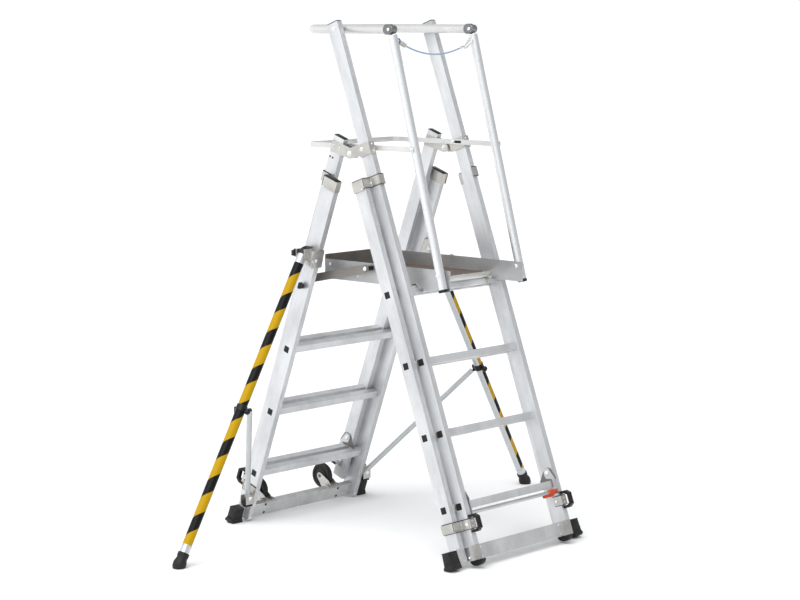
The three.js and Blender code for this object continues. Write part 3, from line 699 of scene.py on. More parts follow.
def rope_eye(points):
    """The crimped eye: a fat ferrule with two waists and the blue loop of cord round the near tube's bolt."""
    way = (points[3] - points[0]).normalized()
    foot = points[0] + way * 3
    profile = [(7.0, 0), (9.0, 3), (9.2, 12), (7.4, 15), (9.2, 18), (9.0, 32), (7.4, 36), (3.4, 37)]
    ferrule = turned([(3.1, 0), *profile], foot, way, 24)
    piece("gate_ferrule", "gate_frame", "ferrule", [ferrule])
    centre = Vector((ROPE_X[0] - 9, ROPE_Y - 3, points[0].z + 3))
    ring = [centre + Vector((11 * math.cos(t), 0, 9 * math.sin(t))) for t in
            [2 * math.pi * i / 24 for i in range(24)]]
    return piece("gate_eye", "gate_frame", "loop", [swept(ring, 3.0, 10, closed=True)])


def snap_hook():
    """A snap hook: bent wire body, hinged gate with a thumb knob, and swivel eye."""
    x1 = ROPE_X[1]
    low = Vector((x1 + 34, ROPE_Y, rope_point(x1).z + 8))
    high = Vector((HOOK_END - HOOK_HALF, ROPE_Y, ROPE_Z))
    way = (high - low).normalized()
    side = Vector((-way.z, 0, way.x))
    r = HOOK_HALF - HOOK_WIRE
    loop = []
    for centre, start in ((high, -math.pi / 2), (low, math.pi / 2)):
        for i in range(13):
            t = start + math.pi * i / 12
            loop.append(centre + way * (r * math.cos(t)) + side * (r * math.sin(t)))
    body = swept(loop, HOOK_WIRE, 12, closed=True)
    swivel_way = (low - Vector((x1, ROPE_Y, rope_point(x1).z))).normalized()
    foot = Vector((x1 + 0.6, ROPE_Y, rope_point(x1).z))
    swivel = turned([(3.4, 0), (5.4, 1.5), (5.8, 9), (4.6, 12), (5.6, 15), (4.8, 24), (3.0, 27), (0, 28)],
                    foot, swivel_way, 20)
    gate = swept([low + side * r * 0.4, high + side * r * 0.2], 1.8, 8)
    thumb = turned([(2.4, 0), (2.8, 2), (2.0, 5), (0, 6)], (low + high) / 2 + side * r, side, 14)
    return piece("snap_hook", "gate_frame", "hook", [body, swivel, gate, thumb], replaces=["gate_hook"])


# ---------------------------------------------------------------- small parts of the leaning frames
SECTIONS = (
    ("front", "upper", UPPER_OUT, UPPER_RUNG_N, 3),
    ("front", "lower", LOWER_OUT, LOWER_RUNG_N, 4),
    ("rear", "upper", UPPER_OUT, UPPER_RUNG_N, 4),
    ("rear", "lower", LOWER_OUT, LOWER_RUNG_N, 3),
)


def rung_plugs():
    """Black square plugs, all but flush, where each rung comes through a stile's outer face."""
    for which, section, out, n, count in SECTIONS:
        solids = []
        for i in range(count):
            s = FIRST_RUNG - i * PITCH
            for sign in (-1, 1):
                faces = span(sign, out - 1.5, out + 0.3)
                solids.append(prism(squared(n, s, 13, 2.5), "x", *faces, 0.25, 1))
                inner = span(sign, out + 0.3, out + 0.38)
                for da, db in ((-4.5, -4.5), (4.5, -4.5), (-4.5, 4.5), (4.5, 4.5)):
                    solids.append(prism(squared(n + da, s + db, 3.4, 0.8), "x", *inner, 0.05, 1))
        piece(f"{which}_{section}_plugs", f"{which}_{section}", "plastic", solids, FRAMES[which])


def rung_spacers():
    """Small guide blocks beside each lower rung, in the gap between the lower and the upper stile."""
    for which in FRAMES:
        blocks = []
        for i in range(3):
            s = FIRST_RUNG - i * PITCH
            for sign in (-1, 1):
                x0, x1 = span(sign, UPPER_OUT + 0.6, LOWER_IN - 0.2)
                blocks.append(block(x0, x1, -66, -48, s - 13, s + 13, 1.2))
        piece(f"{which}_rung_spacers", f"{which}_lower", "plate", blocks, FRAMES[which])


def stile_caps():
    """Black end caps on the posts, on the rear upper stiles and on the tops of the lower sections."""
    tops = (
        ("front", "upper", UPPER_IN, UPPER_OUT, UPPER_N, POST_TOP),
        ("rear", "upper", UPPER_IN, UPPER_OUT, UPPER_N, REAR_TOP),
        ("front", "lower", LOWER_IN, LOWER_OUT, LOWER_N["front"], LOWER_TOP),
        ("rear", "lower", LOWER_IN, LOWER_OUT, LOWER_N["rear"], LOWER_TOP),
    )
    for which, section, x0, x1, (n0, n1), top in tops:
        solids = []
        for sign in (-1, 1):
            a, b = span(sign, x0, x1)
            solids.append(block(a + 0.3, b - 0.3, n0 + 0.3, n1 - 0.3, top - 3.2, top + 0.2, 1.0))
            solids.append(block(a + 3, b - 3, n0 + 4, n1 - 4, top - 4.4, top - 3.0, 0.6))
        piece(f"{which}_{section}_caps", f"{which}_{section}", "plastic", solids, FRAMES[which])


def bracket_path(section, lower_n, sign):
    """The middle line of the folded bracket round both stiles, as (x, n) points."""
    half, lap, gap = SHEET / 2, 0.1, 0.4
    low = half + (-lap if section == "lower" else gap)
    up = half + (gap if section == "lower" else -lap)
    far = UPPER_N[0] - STAND_OFF[section]
    path = [
        (LOWER_OUT + low, lower_n[1] + 2),
        (LOWER_OUT + low, lower_n[0] - low),
        (UPPER_OUT + up, lower_n[0] - low),
        (UPPER_OUT + up, far),
        (UPPER_IN - up, far),
    ]
    if section == "upper":
        path.append((UPPER_IN - up, CLIP_INNER))
    return [(sign * x, n) for x, n in path]


def band(path, s0, s1, t, bevel=0.3):
    """A strip of thickness t standing on a flat path, from s0 to s1."""
    parts = []
    for (xa, na), (xb, nb) in zip(path, path[1:]):
        x0, x1 = sorted((xa, xb))
        n0, n1 = sorted((na, nb))
        parts.append(block(x0 - t / 2, x1 + t / 2, n0 - t / 2, n1 + t / 2, s0, s1, bevel, 1))
    return parts


def bracket_liners():
    """What every folded bracket carries: its black liner's lips, raised boxes, fixings, bright zinc rods
    along the boxes' folded edges as painted highlights, and a dark strip beside the outer box, in the step
    between the stiles, as painted shade.
    """
    for which in FRAMES:
        lower_n = LOWER_N[which]
        for section, (s0, s1) in (("lower", GUIDE), ("upper", CLIP)):
            lips, heads, boxes, fold_highlights, recess_shade = [], [], [], [], []
            middle = (s0 + s1) / 2
            for sign in (-1, 1):
                path = bracket_path(section, lower_n, sign)
                for low, high in ((s0 - 3.2, s0 - 0.1), (s1 + 0.1, s1 + 2.0)):
                    lips += band(path, low, high, 2.3)
                face, step = path[0][0] + sign * SHEET / 2, path[2][0] + sign * SHEET / 2
                foot = s1 + 8 if section == "lower" else s1
                boxes.append(block(*sorted((face, face + sign * 2.2)), lower_n[0] + 7, lower_n[1] + 6,
                                   s0 + 0.5, foot - 0.5, 0.9, 2))
                boxes.append(block(*sorted((step, step + sign * 1.6)), UPPER_N[0] - 1, lower_n[0] - 9,
                                   s0 + 0.5, s1 - 0.5, 0.7, 2))
                # painted highlight: bright zinc rods along the boxes' folded edges stand in for the light the
                # bends catch
                for x, n in ((face, lower_n[0] + 6), (step, lower_n[0] - 8)):
                    fold_highlights.append(turned([(1.7, 0), (1.7, s1 - s0)], (x, n, s0), (0, 0, 1), 12))
                # painted shade: a thin dark strip in the step between the two stiles, beside the outer box
                recess_shade.append(block(*sorted((face, face + sign * 0.7)), lower_n[0] - 1, lower_n[0] + 5,
                                    s0 + 1, s1 - 1, 0.2, 1))
                out = (sign, 0, 0)
                if section == "lower":
                    heads += rivet((step, lower_n[0] - 4, middle + 4), out, 4.2)
                    heads += bolt((face + sign * 2.2, lower_n[0] + 12, s1 + 3), out, 3.4, False)
                else:
                    heads += bolt((step + sign * 1.6, UPPER_N[0] + 10, middle), out, 4.5)
                    heads += rivet((sign * 274, path[3][1] - SHEET / 2, middle - 10), (0, -1, 0), 3.6)
                    heads += rivet((sign * 274, path[3][1] - SHEET / 2, middle + 10), (0, -1, 0), 3.6)
                    inner = path[-1][0] - sign * SHEET / 2
                    heads += bolt((inner, CLIP_INNER - 12, middle), (-sign, 0, 0), 4.5)
            body = f"{which}_{section}"
            for name, material, solids in (("liners", "plastic", lips), ("fixings", "zinc_and_fold_highlight", heads),
                                           ("boxes", "plate", boxes), ("fold_highlights", "zinc_and_fold_highlight", fold_highlights),
                                           ("recess_shade", "dark_steel_and_recess_shade", recess_shade)):
                piece(f"{body}_bracket_{name}", body, material, solids, FRAMES[which])


def lower_collars():
    """The warm grey collar on the inner side of each lower stile's top."""
    for which in FRAMES:
        n0, n1 = LOWER_N[which]
        solids = []
        for sign in (-1, 1):
            x0, x1 = span(sign, LOWER_IN - 2.2, LOWER_IN)
            solids.append(block(x0, x1, n0 - 1, n1 + 2, GUIDE[0], GUIDE[1] + 8, 0.6, 1))
            x0, x1 = span(sign, LOWER_IN - 2, LOWER_OUT + 3)
            solids.append(block(x0, x1, n1, n1 + 2.2, GUIDE[0], GUIDE[1] + 8, 0.6, 1))
        piece(f"{which}_lower_collars", f"{which}_lower", "plate", solids, FRAMES[which])


def hinge_parts():
    """Pins, rivets and the small holes of the top hinge, the holes drawn as black discs of painted shade."""
    front, rear, dark, hole_shades = [], [], [], []
    dished = [(6.4, 0), (6.2, 1.6), (4.2, 2.2), (3.4, 1.2), (0, 1.2)]
    for sign in (-1, 1):
        way = (sign, 0, 0)
        outer_front = sign * (UPPER_OUT + 6.4)
        outer_rear = sign * (UPPER_OUT + 3)
        front += bolt((outer_front, 0, 0), way, 7.5)
        front += bolt((outer_front, -67, 4), way, 6.0)
        front += rivet((sign * 274, UPPER_N[0] - 3, -4), (0, -1, 0), 4.2)
        front += rivet((sign * 274, UPPER_N[0] - 3, 24), (0, -1, 0), 4.2)
        rear += bolt((sign * (UPPER_IN - 3), 0, 0), (-sign, 0, 0), 7.0)
        for n, s in ((-93.5, 7), (-61.5, 5)):
            rear.append(turned(dished, (outer_rear, n, s), way, 20))
            dark.append(turned([(3.2, 0), (3.2, 0.4), (0, 0.4)], (outer_rear + sign * 1.2, n, s), way, 16))
        # painted shade: the stile's two small holes as black discs
        for n in (-99, -84):
            hole_shades += hole_shade((sign * UPPER_OUT, n, 52), way, 3.0)
    piece("hinge_pins_front", "front_upper", "zinc_and_fold_highlight", front, FRAMES["front"])
    piece("hinge_pins_rear", "rear_upper", "zinc_and_fold_highlight", rear, FRAMES["rear"])
    piece("hinge_rivets_rear", "rear_upper", "dark_steel_and_recess_shade", dark, FRAMES["rear"])
    piece("hinge_stile_hole_shades", "rear_upper", "plastic", hole_shades, FRAMES["rear"])


def beam_parts():
    """Rivets at the ends of each base beam, the pairs of drilled holes drawn as black discs of painted shade,
    and the stiles' foot screws.
    """
    for which, ((n0, n1), (s0, s1)) in BEAM.items():
        heads, hole_shades = [], []
        middle = (s0 + s1) / 2
        for sign in (-1, 1):
            for s in (middle - 18, middle + 18):
                heads += rivet((sign * 236, n0, s), (0, -1, 0), 3.8)
                heads += rivet((sign * LOWER_OUT, -38, s - 8), (sign, 0, 0), 3.8)
                # painted shade: each drilled hole as a black disc
                hole_shades += hole_shade((sign * 213, n1, s), (0, 1, 0), 4.6)
            for s in (middle - 7, middle + 6):
                heads += rivet((sign * 213, n1, s), (0, 1, 0), 3.4)
            heads += bolt((sign * UPPER_OUT, UPPER_RUNG_N + 14, s1 - 12), (sign, 0, 0), 5.0)
            heads += bolt((sign * (LOWER_OUT - 12), LOWER_N[which][1], s1 - 14), (0, 1, 0), 5.0)
        body = f"{which}_lower"
        piece(f"{which}_beam_rivets", body, "zinc_and_fold_highlight", heads, FRAMES[which])
        piece(f"{which}_beam_hole_shades", body, "plastic", hole_shades, FRAMES[which])


def floor_at(n):
    """The s at which a leaning frame's drawing meets the floor."""
    return (PIN_Z - n * math.sin(LEAN)) / math.cos(LEAN)


def boots():
    """Rubber feet: a sleeve outboard of the stile's foot, with recessed panels and a sole that widens."""
    s0, s1 = BOOT_S
    x0, x1 = BOOT_X
    low = floor_at(BOOT_TREAD)
    for which in FRAMES:
        n0, n1 = BOOT_N[which]
        flare = BOOT_FLARE
        outline = [
            (n0, s0), (n1, s0), (n1, s1 - 6), (n1 + flare * 0.4, s1), (n1 + flare, s1 + 9),
            (n1 + flare - 1, floor_at(n1 + flare) - 0.3), (BOOT_TREAD, low - 0.3),
            (n0 - flare + 3, low - BOOT_LIFT), (n0 - flare, low - BOOT_LIFT - 7),
            (n0 - flare * 0.4, s1), (n0, s1 - 6),
        ]
        for side, sign in SIDES.items():
            sleeve = prism(outline, "x", *span(sign, x0, x1), 2.5, 3)
            toe = [(n0 + 1, s1 - 3), (n1 - 1, s1 - 3), (n1 + 5, s1 + 8), (n1 + 5, floor_at(n1 + 5) - 2),
                   (n0 - 4, low - BOOT_LIFT - 3), (n0 - 5, s1 + 8)]
            flared = prism(toe, "x", *span(sign, x1 - 3, x1 + 6), 3.0, 3)
            outer = span(sign, x1 - 0.5, x1 + 0.9)
            solids = [sleeve, flared, block(*outer, n0 + 6, n1 - 6, s0 + 8, s1 - 12, 0.7, 2)]
            across = span(sign, x0 + 9, x1 - 6)
            for a, b in ((n0 - 1.0, n0 + 1), (n1 - 1, n1 + 1.0)):
                solids.append(block(*across, a, b, s0 + 9, s1 - 10, 0.7, 2))
                solids.append(block(*across, a - 0.6, b + 0.6, s1 - 6, s1 - 2, 0.9, 2))
            lip = span(sign, x0 + 0.5, x1 + 0.8)
            solids.append(block(*lip, n0 - 0.8, n1 + 0.8, s0 + 0.5, s0 + 3.5, 1.0, 2))
            piece(f"{which}_boot_rubber_{side}", f"{which}_lower", "rubber", solids, FRAMES[which],
                  replaces=[f"{which}_boot_{side}"])


def castors():
    """Hub caps and axle nuts of the two wheels."""
    for side, sign in SIDES.items():
        solids = []
        for face in (-1, 1):
            x = sign * CASTOR_X + face * 9.2
            solids.append(turned([(30, 0), (30, 1.2), (20, 2.2), (14, 2.2), (13.2, 1.5), (0, 1.5)],
                                 (x, CASTOR_N, CASTOR_S), (face, 0, 0), 32))
        piece(f"castor_hub_{side}", f"wheel_{side}", "wheel", solids, FRAMES["rear"])
        nuts = []
        for face in (-1, 1):
            nuts += bolt((sign * CASTOR_X + face * 18.2, CASTOR_N, CASTOR_S), (face, 0, 0), 5.5)
        for dx in (-26, 26):
            nuts += rivet((sign * CASTOR_X + dx, -32, BEAM["rear"][1][0] - 4), (0, 0, -1), 4.5)
        piece(f"castor_nuts_{side}", "rear_lower", "dark_steel_and_recess_shade", nuts, FRAMES["rear"])


def release_levers():
    """The release levers' fixed plates and pivot bolts, and the orange-red grip on the front one's rod."""
    plate = [(-74, 1351), (-92, 1350), (-104, 1358), (-116, 1390), (-116, 1400), (-31, 1400), (-36, 1392),
             (-62, 1360)]
    for which in FRAMES:
        plates, bolts = [], []
        for sign in (-1, 1):
            bolts += bolt((sign * LEVER_FACE, -80, 1370), (-sign, 0, 0), 6.5)
            plates.append(prism(plate, "x", *span(sign, UPPER_IN - 2.8, UPPER_IN - 0.2), 0.5, 1))
        piece(f"{which}_lever_plates", f"{which}_upper", "gusset", plates, FRAMES[which])
        piece(f"{which}_lever_bolts", f"{which}_lever", "zinc_and_fold_highlight", bolts, FRAMES[which])
    r = ROD_R
    profile = [(r + 0.5, 0), (r + 3, 2), (r + 4.5, 10), (r + 4.5, 34), (r + 2.5, 40), (r + 2.5, 48), (r, 50)]
    grip = turned(profile, (204, ROD_N, ROD_S), (1, 0, 0), 24)
    outline = [(ROD_N - 4, 1452), (ROD_N + 8, 1450), (ROD_N + 9, 1462), (ROD_N - 3, 1464)]
    tongue = prism(outline, "x", 176, 232, 2, 2)
    piece("lever_grip", "front_lever", "orange", [grip, tongue], FRAMES["front"])


# ---------------------------------------------------------------- guard rail, platform and links
def rail_parts():
    """Fixings of the guard rail: post pivots, knee-rail bolts, the knee rail's slots drawn as black capsules
    of painted shade, tube bolts and tube caps.
    """
    posts, knee, slot_shades, tubes, caps = [], [], [], [], []
    post_y, post_z = in_model("front", UPPER_RUNG_N, -482)
    top = Vector((0, KNUCKLE_Y, RAIL_Z))
    end = Vector((0, *TUBE_END))
    way = (end - top).normalized()
    cap = [(17.9, -3), (18.6, -3), (18.8, 4), (17.6, 7.5), (10, 8.2), (0, 8.2)]
    for sign in (-1, 1):
        x = sign * RAIL_X
        out, inward = (sign, 0, 0), (-sign, 0, 0)
        posts += bolt((sign * UPPER_OUT, post_y, post_z), out, 6.5)
        knee += [turned([(7.5, 0), (7.5, 9)], (x + sign * RAIL_R, post_y, post_z), out, 20)]
        inner_knee = sign * (KNEE_X - KNEE_T / 2)
        outer_knee = sign * (KNEE_X + KNEE_T / 2)
        knee += bolt((outer_knee, -290.4, KNEE_Z), out, 5.5)
        knee += bolt((inner_knee, -52, KNEE_Z), inward, 5.5)
        # painted shade: each slot through the knee rail is a thin black capsule on its inner face
        faces = sorted((inner_knee, inner_knee - sign * 0.5))
        slot_shades.append(prism(capsule((-92, KNEE_Z), (-66, KNEE_Z), 5.2), "x", *faces, 0.15, 1, True))
        bolt_at = top + way * ((RAIL_Z - 1080) / -way.z)
        tubes += bolt((x + sign * RAIL_R - sign * 0.3, bolt_at.y, bolt_at.z), out, 5.5)
        tubes += bolt((sign * 213.0, bolt_at.y, bolt_at.z), inward, 6.0)
        foot = end + Vector((x, 0, 0)) - way * 1.0
        caps.append(turned(cap, foot, way, 28))
    piece("rail_pivot_bolts", "front_upper", "zinc_and_fold_highlight", posts)
    piece("knee_rail_bolts", "knee_rail", "zinc_and_fold_highlight", knee)
    piece("knee_rail_slot_shades", "knee_rail", "plastic", slot_shades)
    piece("tube_bolts", "gate_frame", "zinc_and_fold_highlight", tubes)
    piece("tube_caps", "gate_frame", "plastic", caps)


def knuckles():
    """The joints between top rail and down tubes: a barrel with a ring, a collar and bright screws."""
    for side, sign in SIDES.items():
        at = Vector((sign * RAIL_X, KNUCKLE_Y, RAIL_Z))
        barrel = turned([(0, -17), (14, -17), (16.8, -14), (16.8, 14), (14, 17), (0, 17)], at, (1, 0, 0), 32)
        collar = turned([(16, -2), (20.5, 2), (20.5, 26), (18.4, 29), (16, 29)], at, (0, 1, 0), 32)
        ring = turned([(10.5, 0), (10.5, 1.2), (9.4, 1.8), (8.2, 1.8), (8.2, 0.2), (0, 0.2)],
                      at + Vector((sign * 17, 0, 0)), (sign, 0, 0), 28)
        piece(f"knuckle_cast_{side}", "guard_rail", "knuckle", [barrel, collar, ring],
              replaces=[f"rail_knuckle_{side}"])
        screws = bolt(at + Vector((sign * 17, 0, 0)), (sign, 0, 0), 7.2, False)
        screws += bolt(at - Vector((sign * 17, 0, 0)), (-sign, 0, 0), 7.2, False)
        screws += rivet(at + Vector((0, 14, 20.3)), (0, 0, 1), 3.2)
        piece(f"knuckle_screws_{side}", "guard_rail", "zinc_and_fold_highlight", screws)


def deck_parts():
    """Edge strips on the deck, gussets under its front edge and the fixings of its boards."""
    strips, screws, gussets = [], [], []
    lip = DECK_FRONT - 2.2
    for y0, y1, z0, z1, bevel in (
        (lip, DECK_FRONT + 16, DECK_TOP, DECK_TOP + 1.4, 0.5),
        (DECK_BACK - 16, DECK_BACK - 0.2, DECK_TOP, DECK_TOP + 1.4, 0.5),
        (lip, DECK_FRONT, DECK_UNDER - 6, DECK_TOP, 0.6),
        (DECK_FRONT + 30, DECK_FRONT + 34, DECK_UNDER - 22, DECK_UNDER, 0.6),
    ):
        strips.append(block(-DECK_HALF + 1, DECK_HALF - 1, y0, y1, z0, z1, bevel, 2))
    for x in (-180, -60, 60, 180):
        screws += rivet((x, DECK_FRONT + 8, DECK_TOP + 1.4), (0, 0, 1), 3.6)
        screws += rivet((x, DECK_BACK - 8, DECK_TOP + 1.4), (0, 0, 1), 3.6)
    hinge_y, hinge_z = in_model("front", UPPER_RUNG_N, TOP_RUNG)
    for sign in (-1, 1):
        outline = [(hinge_y - 42, DECK_UNDER - 0.5), (hinge_y + 50, DECK_UNDER - 0.5),
                   (hinge_y + 24, hinge_z - 14), (hinge_y + 6, hinge_z - 21), (hinge_y - 12, hinge_z - 19),
                   (hinge_y - 24, hinge_z - 6)]
        gussets.append(prism(outline, "x", *span(sign, 190, 193), 1.0, 2))
        x = sign * 216.4
        for y in (-160, 30, 150):
            screws += rivet((x, y, 1041), (sign, 0, 0), 4.2)
        screws += bolt((x, 180, 1078), (sign, 0, 0), 4.5)
    for x in (-150, 0, 150):
        screws += rivet((x, DECK_BACK + 3.4, 1041), (0, 1, 0), 4.2)
    piece("deck_edge_strips", "platform", "rail", strips)
    piece("deck_screws", "platform", "zinc_and_fold_highlight", screws)
    piece("deck_gussets", "platform", "plate", gussets)


def link_parts():
    """Bolts and black spacers at both ends of the link bars."""
    rear_y, rear_z = in_model("rear", UPPER_RUNG_N, TOP_RUNG)
    bolts, spacers = [], []
    for sign in (-1, 1):
        out = (sign, 0, 0)
        face = sign * (LINK_X + LINK_T)
        for y, z in ((-48, 1080), (rear_y, rear_z)):
            spacers.append(turned([(12.5, 0), (12.5, 1.0), (11.5, 1.4), (0, 1.4)], (face, y, z), out, 28))
            bolts += bolt((face + sign * 1.4, y, z), out, 6.5)
        spacers.append(turned([(10, 0), (10, 34)], (sign * 217.6, -48, 1080), out, 24))
    piece("link_bolts", "link_bars", "zinc_and_fold_highlight", bolts)
    piece("link_spacers", "link_bars", "plastic", spacers)


# ---------------------------------------------------------------- outriggers
def stay_brackets():
    """The channel at the foot of each stay: two upright cheeks, a black shoe between them and its bolts."""
    x, y, z = STAY_FOOT
    for side, sign in SIDES.items():
        a, b = span(sign, LOWER_OUT + 1, x + 22)
        cheeks = [block(a, b, y + dy, y + dy + 2.4, z - 26, z + 12, 0.8, 2) for dy in (-17, 16)]
        piece(f"stay_bracket_{side}", "rear_lower", "plate", cheeks)
        caps = [block(a + 6, b - 4, y - 14, y + 14, z - 36, z - 14, 3, 3)]
        piece(f"stay_cap_{side}", "rear_lower", "plastic", caps)
        screws = bolt((sign * x, y - 17, z), (0, -1, 0), 6.5)
        screws += bolt((sign * x, y + 18.4, z), (0, 1, 0), 6.5)
        piece(f"stay_bolts_{side}", "rear_lower", "zinc_and_fold_highlight", screws)


def pole_at(distance, sign):
    """The point a distance down a pole's middle line, and the way down it."""
    way = (POLE_TIP - POLE_TOP).normalized()
    p = POLE_TOP + way * distance
    return Vector((sign * p.x, p.y, p.z)), Vector((sign * way.x, way.y, way.z))


def outrigger_top(side, sign):
    """The bracket at an outrigger's top: a plate in front of the stile, its bolts and a black star knob."""
    top, _ = pole_at(0, sign)
    n = LOWER_N["rear"][1] + 2
    quad = [(352, 406), (294, 408), (286, 483), (344, 483)]
    plate = prism([(sign * x, s) for x, s in quad], "y", n, n + 2.6, 0.7, 2)
    cheek = block(*span(sign, 350, 353), n - 26, n + 2.6, 412, 476, 0.7, 2)
    piece(f"outrigger_plate_{side}", "rear_lower", "plate", [plate, cheek], FRAMES["rear"])
    fixings = bolt((sign * 326, n + 2.6, 450), (0, 1, 0), 6.0)
    fixings.append(turned([(7, 0), (7, 2), (0, 2)], (sign * 344, n + 2.6, 452), (0, 1, 0), 24))
    piece(f"outrigger_plate_bolts_{side}", "rear_lower", "zinc_and_fold_highlight", fixings, FRAMES["rear"])
    pivot = bolt((top.x, top.y + POLE_R + 4.5, top.z), (0, 1, 0), 7.0)
    piece(f"outrigger_pivots_{side}", "rear_lower", "zinc_and_fold_highlight", pivot)
    y1 = top.y + POLE_R + 8
    star = prism(lobed(top.x, top.z + 4, 17, 3, 5), "y", y1 + 6, y1 + 22, 2.5, 2)
    stem = turned([(6, 0), (6, 8)], (top.x, y1, top.z + 4), (0, 1, 0), 16)
    piece(f"outrigger_star_{side}", "rear_lower", "plastic", [star, stem])


def lobed(a, b, r, depth, lobes):
    """The outline of a star knob."""
    turns = [2 * math.pi * i / (lobes * 8) for i in range(lobes * 8)]
    return [(a + (r - depth + depth * math.cos(lobes * t)) * math.cos(t),
             b + (r - depth + depth * math.cos(lobes * t)) * math.sin(t)) for t in turns]


def outrigger_elbow(side, sign):
    """The black shroud that bends from the stile into the pole, and its clamp ring."""
    top, way = pole_at(0, sign)
    elbow = [top + way * 4, top - way * 6]
    stile_face = Vector((sign * (LOWER_OUT + 4), top.y, top.z + 10))
    corner = top - way * 24
    for i in range(1, 7):
        t = i / 6
        elbow.append((top - way * 6).lerp(corner, t).lerp(corner.lerp(stile_face, t), t))
    profile = [(POLE_R + 0.2, -2), (POLE_R + 1.0, -1), (POLE_R + 1.0, 1.4), (POLE_R + 0.2, 2)]
    ring = turned(profile, top, way, 28)
    piece(f"outrigger_shroud_{side}", f"outrigger_{side}", "elbow", [swept(elbow, POLE_R - 0.4, 24), ring])


def outrigger_parts():
    """Each outrigger's top bracket, elbow, neck band, rubber tip and clamp."""
    length = (POLE_TIP - POLE_TOP).length
    for side, sign in SIDES.items():
        outrigger_top(side, sign)
        outrigger_elbow(side, sign)
        neck, way = pole_at(length - TIP_LENGTH - 30, sign)
        profile = [(POLE_R + 0.1, 0), (POLE_R + 0.9, 1), (POLE_R + 0.9, 5), (POLE_R + 0.1, 6)]
        band_end = turned(profile, neck, way, 32)
        piece(f"outrigger_neck_{side}", f"outrigger_{side}", "pole", [band_end])
        tip, way = pole_at(length - TIP_LENGTH, sign)
        piece(f"outrigger_tip_{side}", f"outrigger_{side}", "rubber", [rubber_tip(tip, way)],
              replaces=[f"outrigger_foot_{side}"])
        clamp_parts(side, sign)


def clamp_parts(side, sign):
    """A thin black collar on the pole with a ball knob, a cap over the stay's end and a bolt."""
    foot, way = pole_at(CLAMP_AT - 2, sign)
    at = foot + way * 14
    r = POLE_R + 0.3
    solids = [turned([(r, 0), (r + 2.4, 1), (r + 2.4, 25), (r, 26)], foot, way, 32),
              turned(ball_profile(12), at + Vector((0, -POLE_R - 26, -8)), (0, 1, 0), 24),
              turned([(5.5, 0), (5.5, 10)], at + Vector((0, -POLE_R - 9, -6)), (0, 1, 0), 16),
              block(at.x - 9, at.x + 9, at.y + POLE_R, at.y + POLE_R + 14, at.z - 24, at.z + 6, 3, 3)]
    piece(f"clamp_collar_{side}", f"clamp_{side}", "plastic", solids,
          replaces=[f"outrigger_clamp_{side}"])
    bolts = bolt(at + Vector((-sign * 9, POLE_R + 8, -12)), (-sign, 0, 0), 4.5, False)
    bolts += bolt(at + Vector((0, POLE_R + 14, -10)), (0, 1, 0), 5.0, False)
    piece(f"clamp_bolts_{side}", f"clamp_{side}", "zinc_and_fold_highlight", bolts)


def rubber_tip(foot, way):
    """A rubber tip: a waisted sleeve that swells into a bulb, cut flat on the floor."""
    swell = ((0.3, 0), (3.5, 1.5), (3.5, 14), (1.2, 20), (2.5, 27), (6.0, 36), (7.0, 46), (5.5, 58), (0, 68))
    tip = turned([(POLE_R + extra, h) for extra, h in swell] + [(0, 74)], foot, way, 40)
    cut = bmesh.ops.bisect_plane(tip, geom=[*tip.verts, *tip.edges, *tip.faces], plane_co=(0, 0, 0.3),
                                 plane_no=(0, 0, -1), clear_outer=True)
    bmesh.ops.edgeloop_fill(tip, edges=[e for e in cut["geom_cut"] if isinstance(e, bmesh.types.BMEdge)])
    return tip


def ball_profile(r, steps=10):
    """A ball's (radius, height) pairs, from its foot."""
    turns = [math.pi * i / steps for i in range(steps + 1)]
    return [(r * math.sin(t), r - r * math.cos(t)) for t in turns]


# ---------------------------------------------------------------- studio
FLOOR_HALF = 60  # metres
LAMP_WAY, LAMP_POWER, LAMP_SPREAD = Vector((0.55, 0.25, -0.95)), 2.3, math.radians(60)


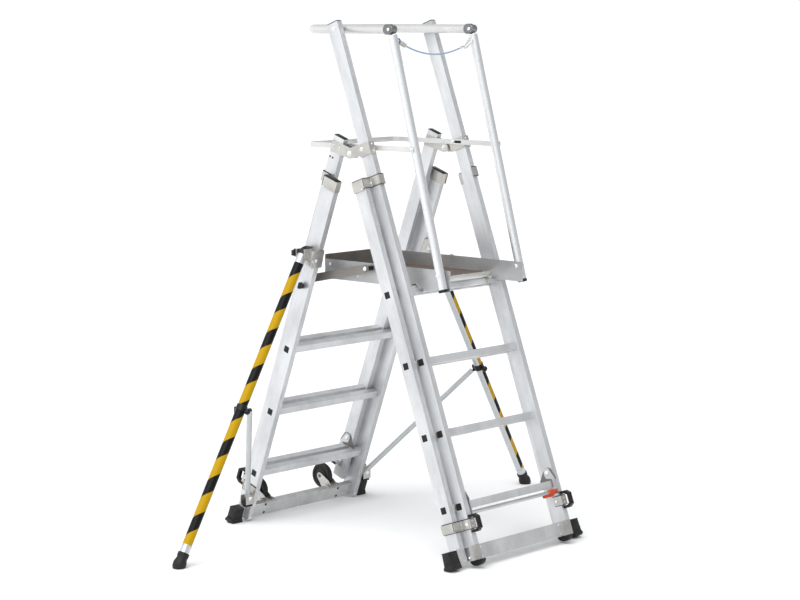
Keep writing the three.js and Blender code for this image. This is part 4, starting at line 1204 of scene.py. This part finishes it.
def surround():
    """A studio that lights and is reflected: bright on the left and low down, darker on the right. The camera
    itself sees plain white instead."""
    world = bpy.data.worlds.new("studio")
    world.use_nodes = True
    tree = world.node_tree
    background = tree.nodes["Background"]
    way = tree.nodes.new("ShaderNodeTexCoord").outputs["Generated"]

    def add(kind, inputs, output=0, **settings):
        return add_node(tree, kind, inputs, output, **settings)

    left = add("VectorMath", {0: way, 1: (-0.75, 0.66, 0.0)}, "Value", operation="DOT_PRODUCT")
    across = add("MapRange", {"Value": left, "From Min": -0.7, "From Max": 0.8,
                              "To Min": 0.56, "To Max": 1.26})
    height = add("SeparateXYZ", {"Vector": way}, 2)
    raised = add("MapRange", {"Value": height, "From Min": 0.05, "From Max": 0.85,
                              "To Min": 1.12, "To Max": 0.72})
    level = add("Math", {0: across, 1: raised}, operation="MULTIPLY")
    seen = add("LightPath", {}, "Is Camera Ray")
    shown = add("Mix", {"Factor": seen, "A": level, "B": 1.05}, data_type="FLOAT")
    tint = add("CombineColor", {0: add("Math", {0: shown, 1: 0.975}, operation="MULTIPLY"),
                                1: add("Math", {0: shown, 1: 0.99}, operation="MULTIPLY"), 2: shown})
    tree.links.new(tint, background.inputs["Color"])
    bpy.context.scene.world = world


def studio():
    """A pale floor, the surround and one large soft lamp high on the left."""
    mesh = bpy.data.meshes.new("floor")
    corners = [(x * FLOOR_HALF, y * FLOOR_HALF, 0) for x, y in ((-1, -1), (1, -1), (1, 1), (-1, 1))]
    mesh.from_pydata(corners, [], [(0, 1, 2, 3)])
    mesh.materials.append(MATERIALS["floor"])
    floor = bpy.data.objects.new("floor", mesh)
    bpy.context.scene.collection.objects.link(floor)

    surround()
    data = bpy.data.lights.new("key", "SUN")
    data.energy = LAMP_POWER
    data.angle = LAMP_SPREAD
    lamp = bpy.data.objects.new("key", data)
    lamp.rotation_euler = LAMP_WAY.to_track_quat("-Z", "Y").to_euler()
    bpy.context.scene.collection.objects.link(lamp)
    bpy.context.scene.view_settings.view_transform = "Standard"


add_camera()
rope_gate()
dress_frames()
dress_rest()
rung_plugs()
rung_spacers()
stile_caps()
bracket_liners()
lower_collars()
hinge_parts()
beam_parts()
boots()
castors()
release_levers()
rail_parts()
knuckles()
deck_parts()
link_parts()
stay_brackets()
outrigger_parts()
studio()
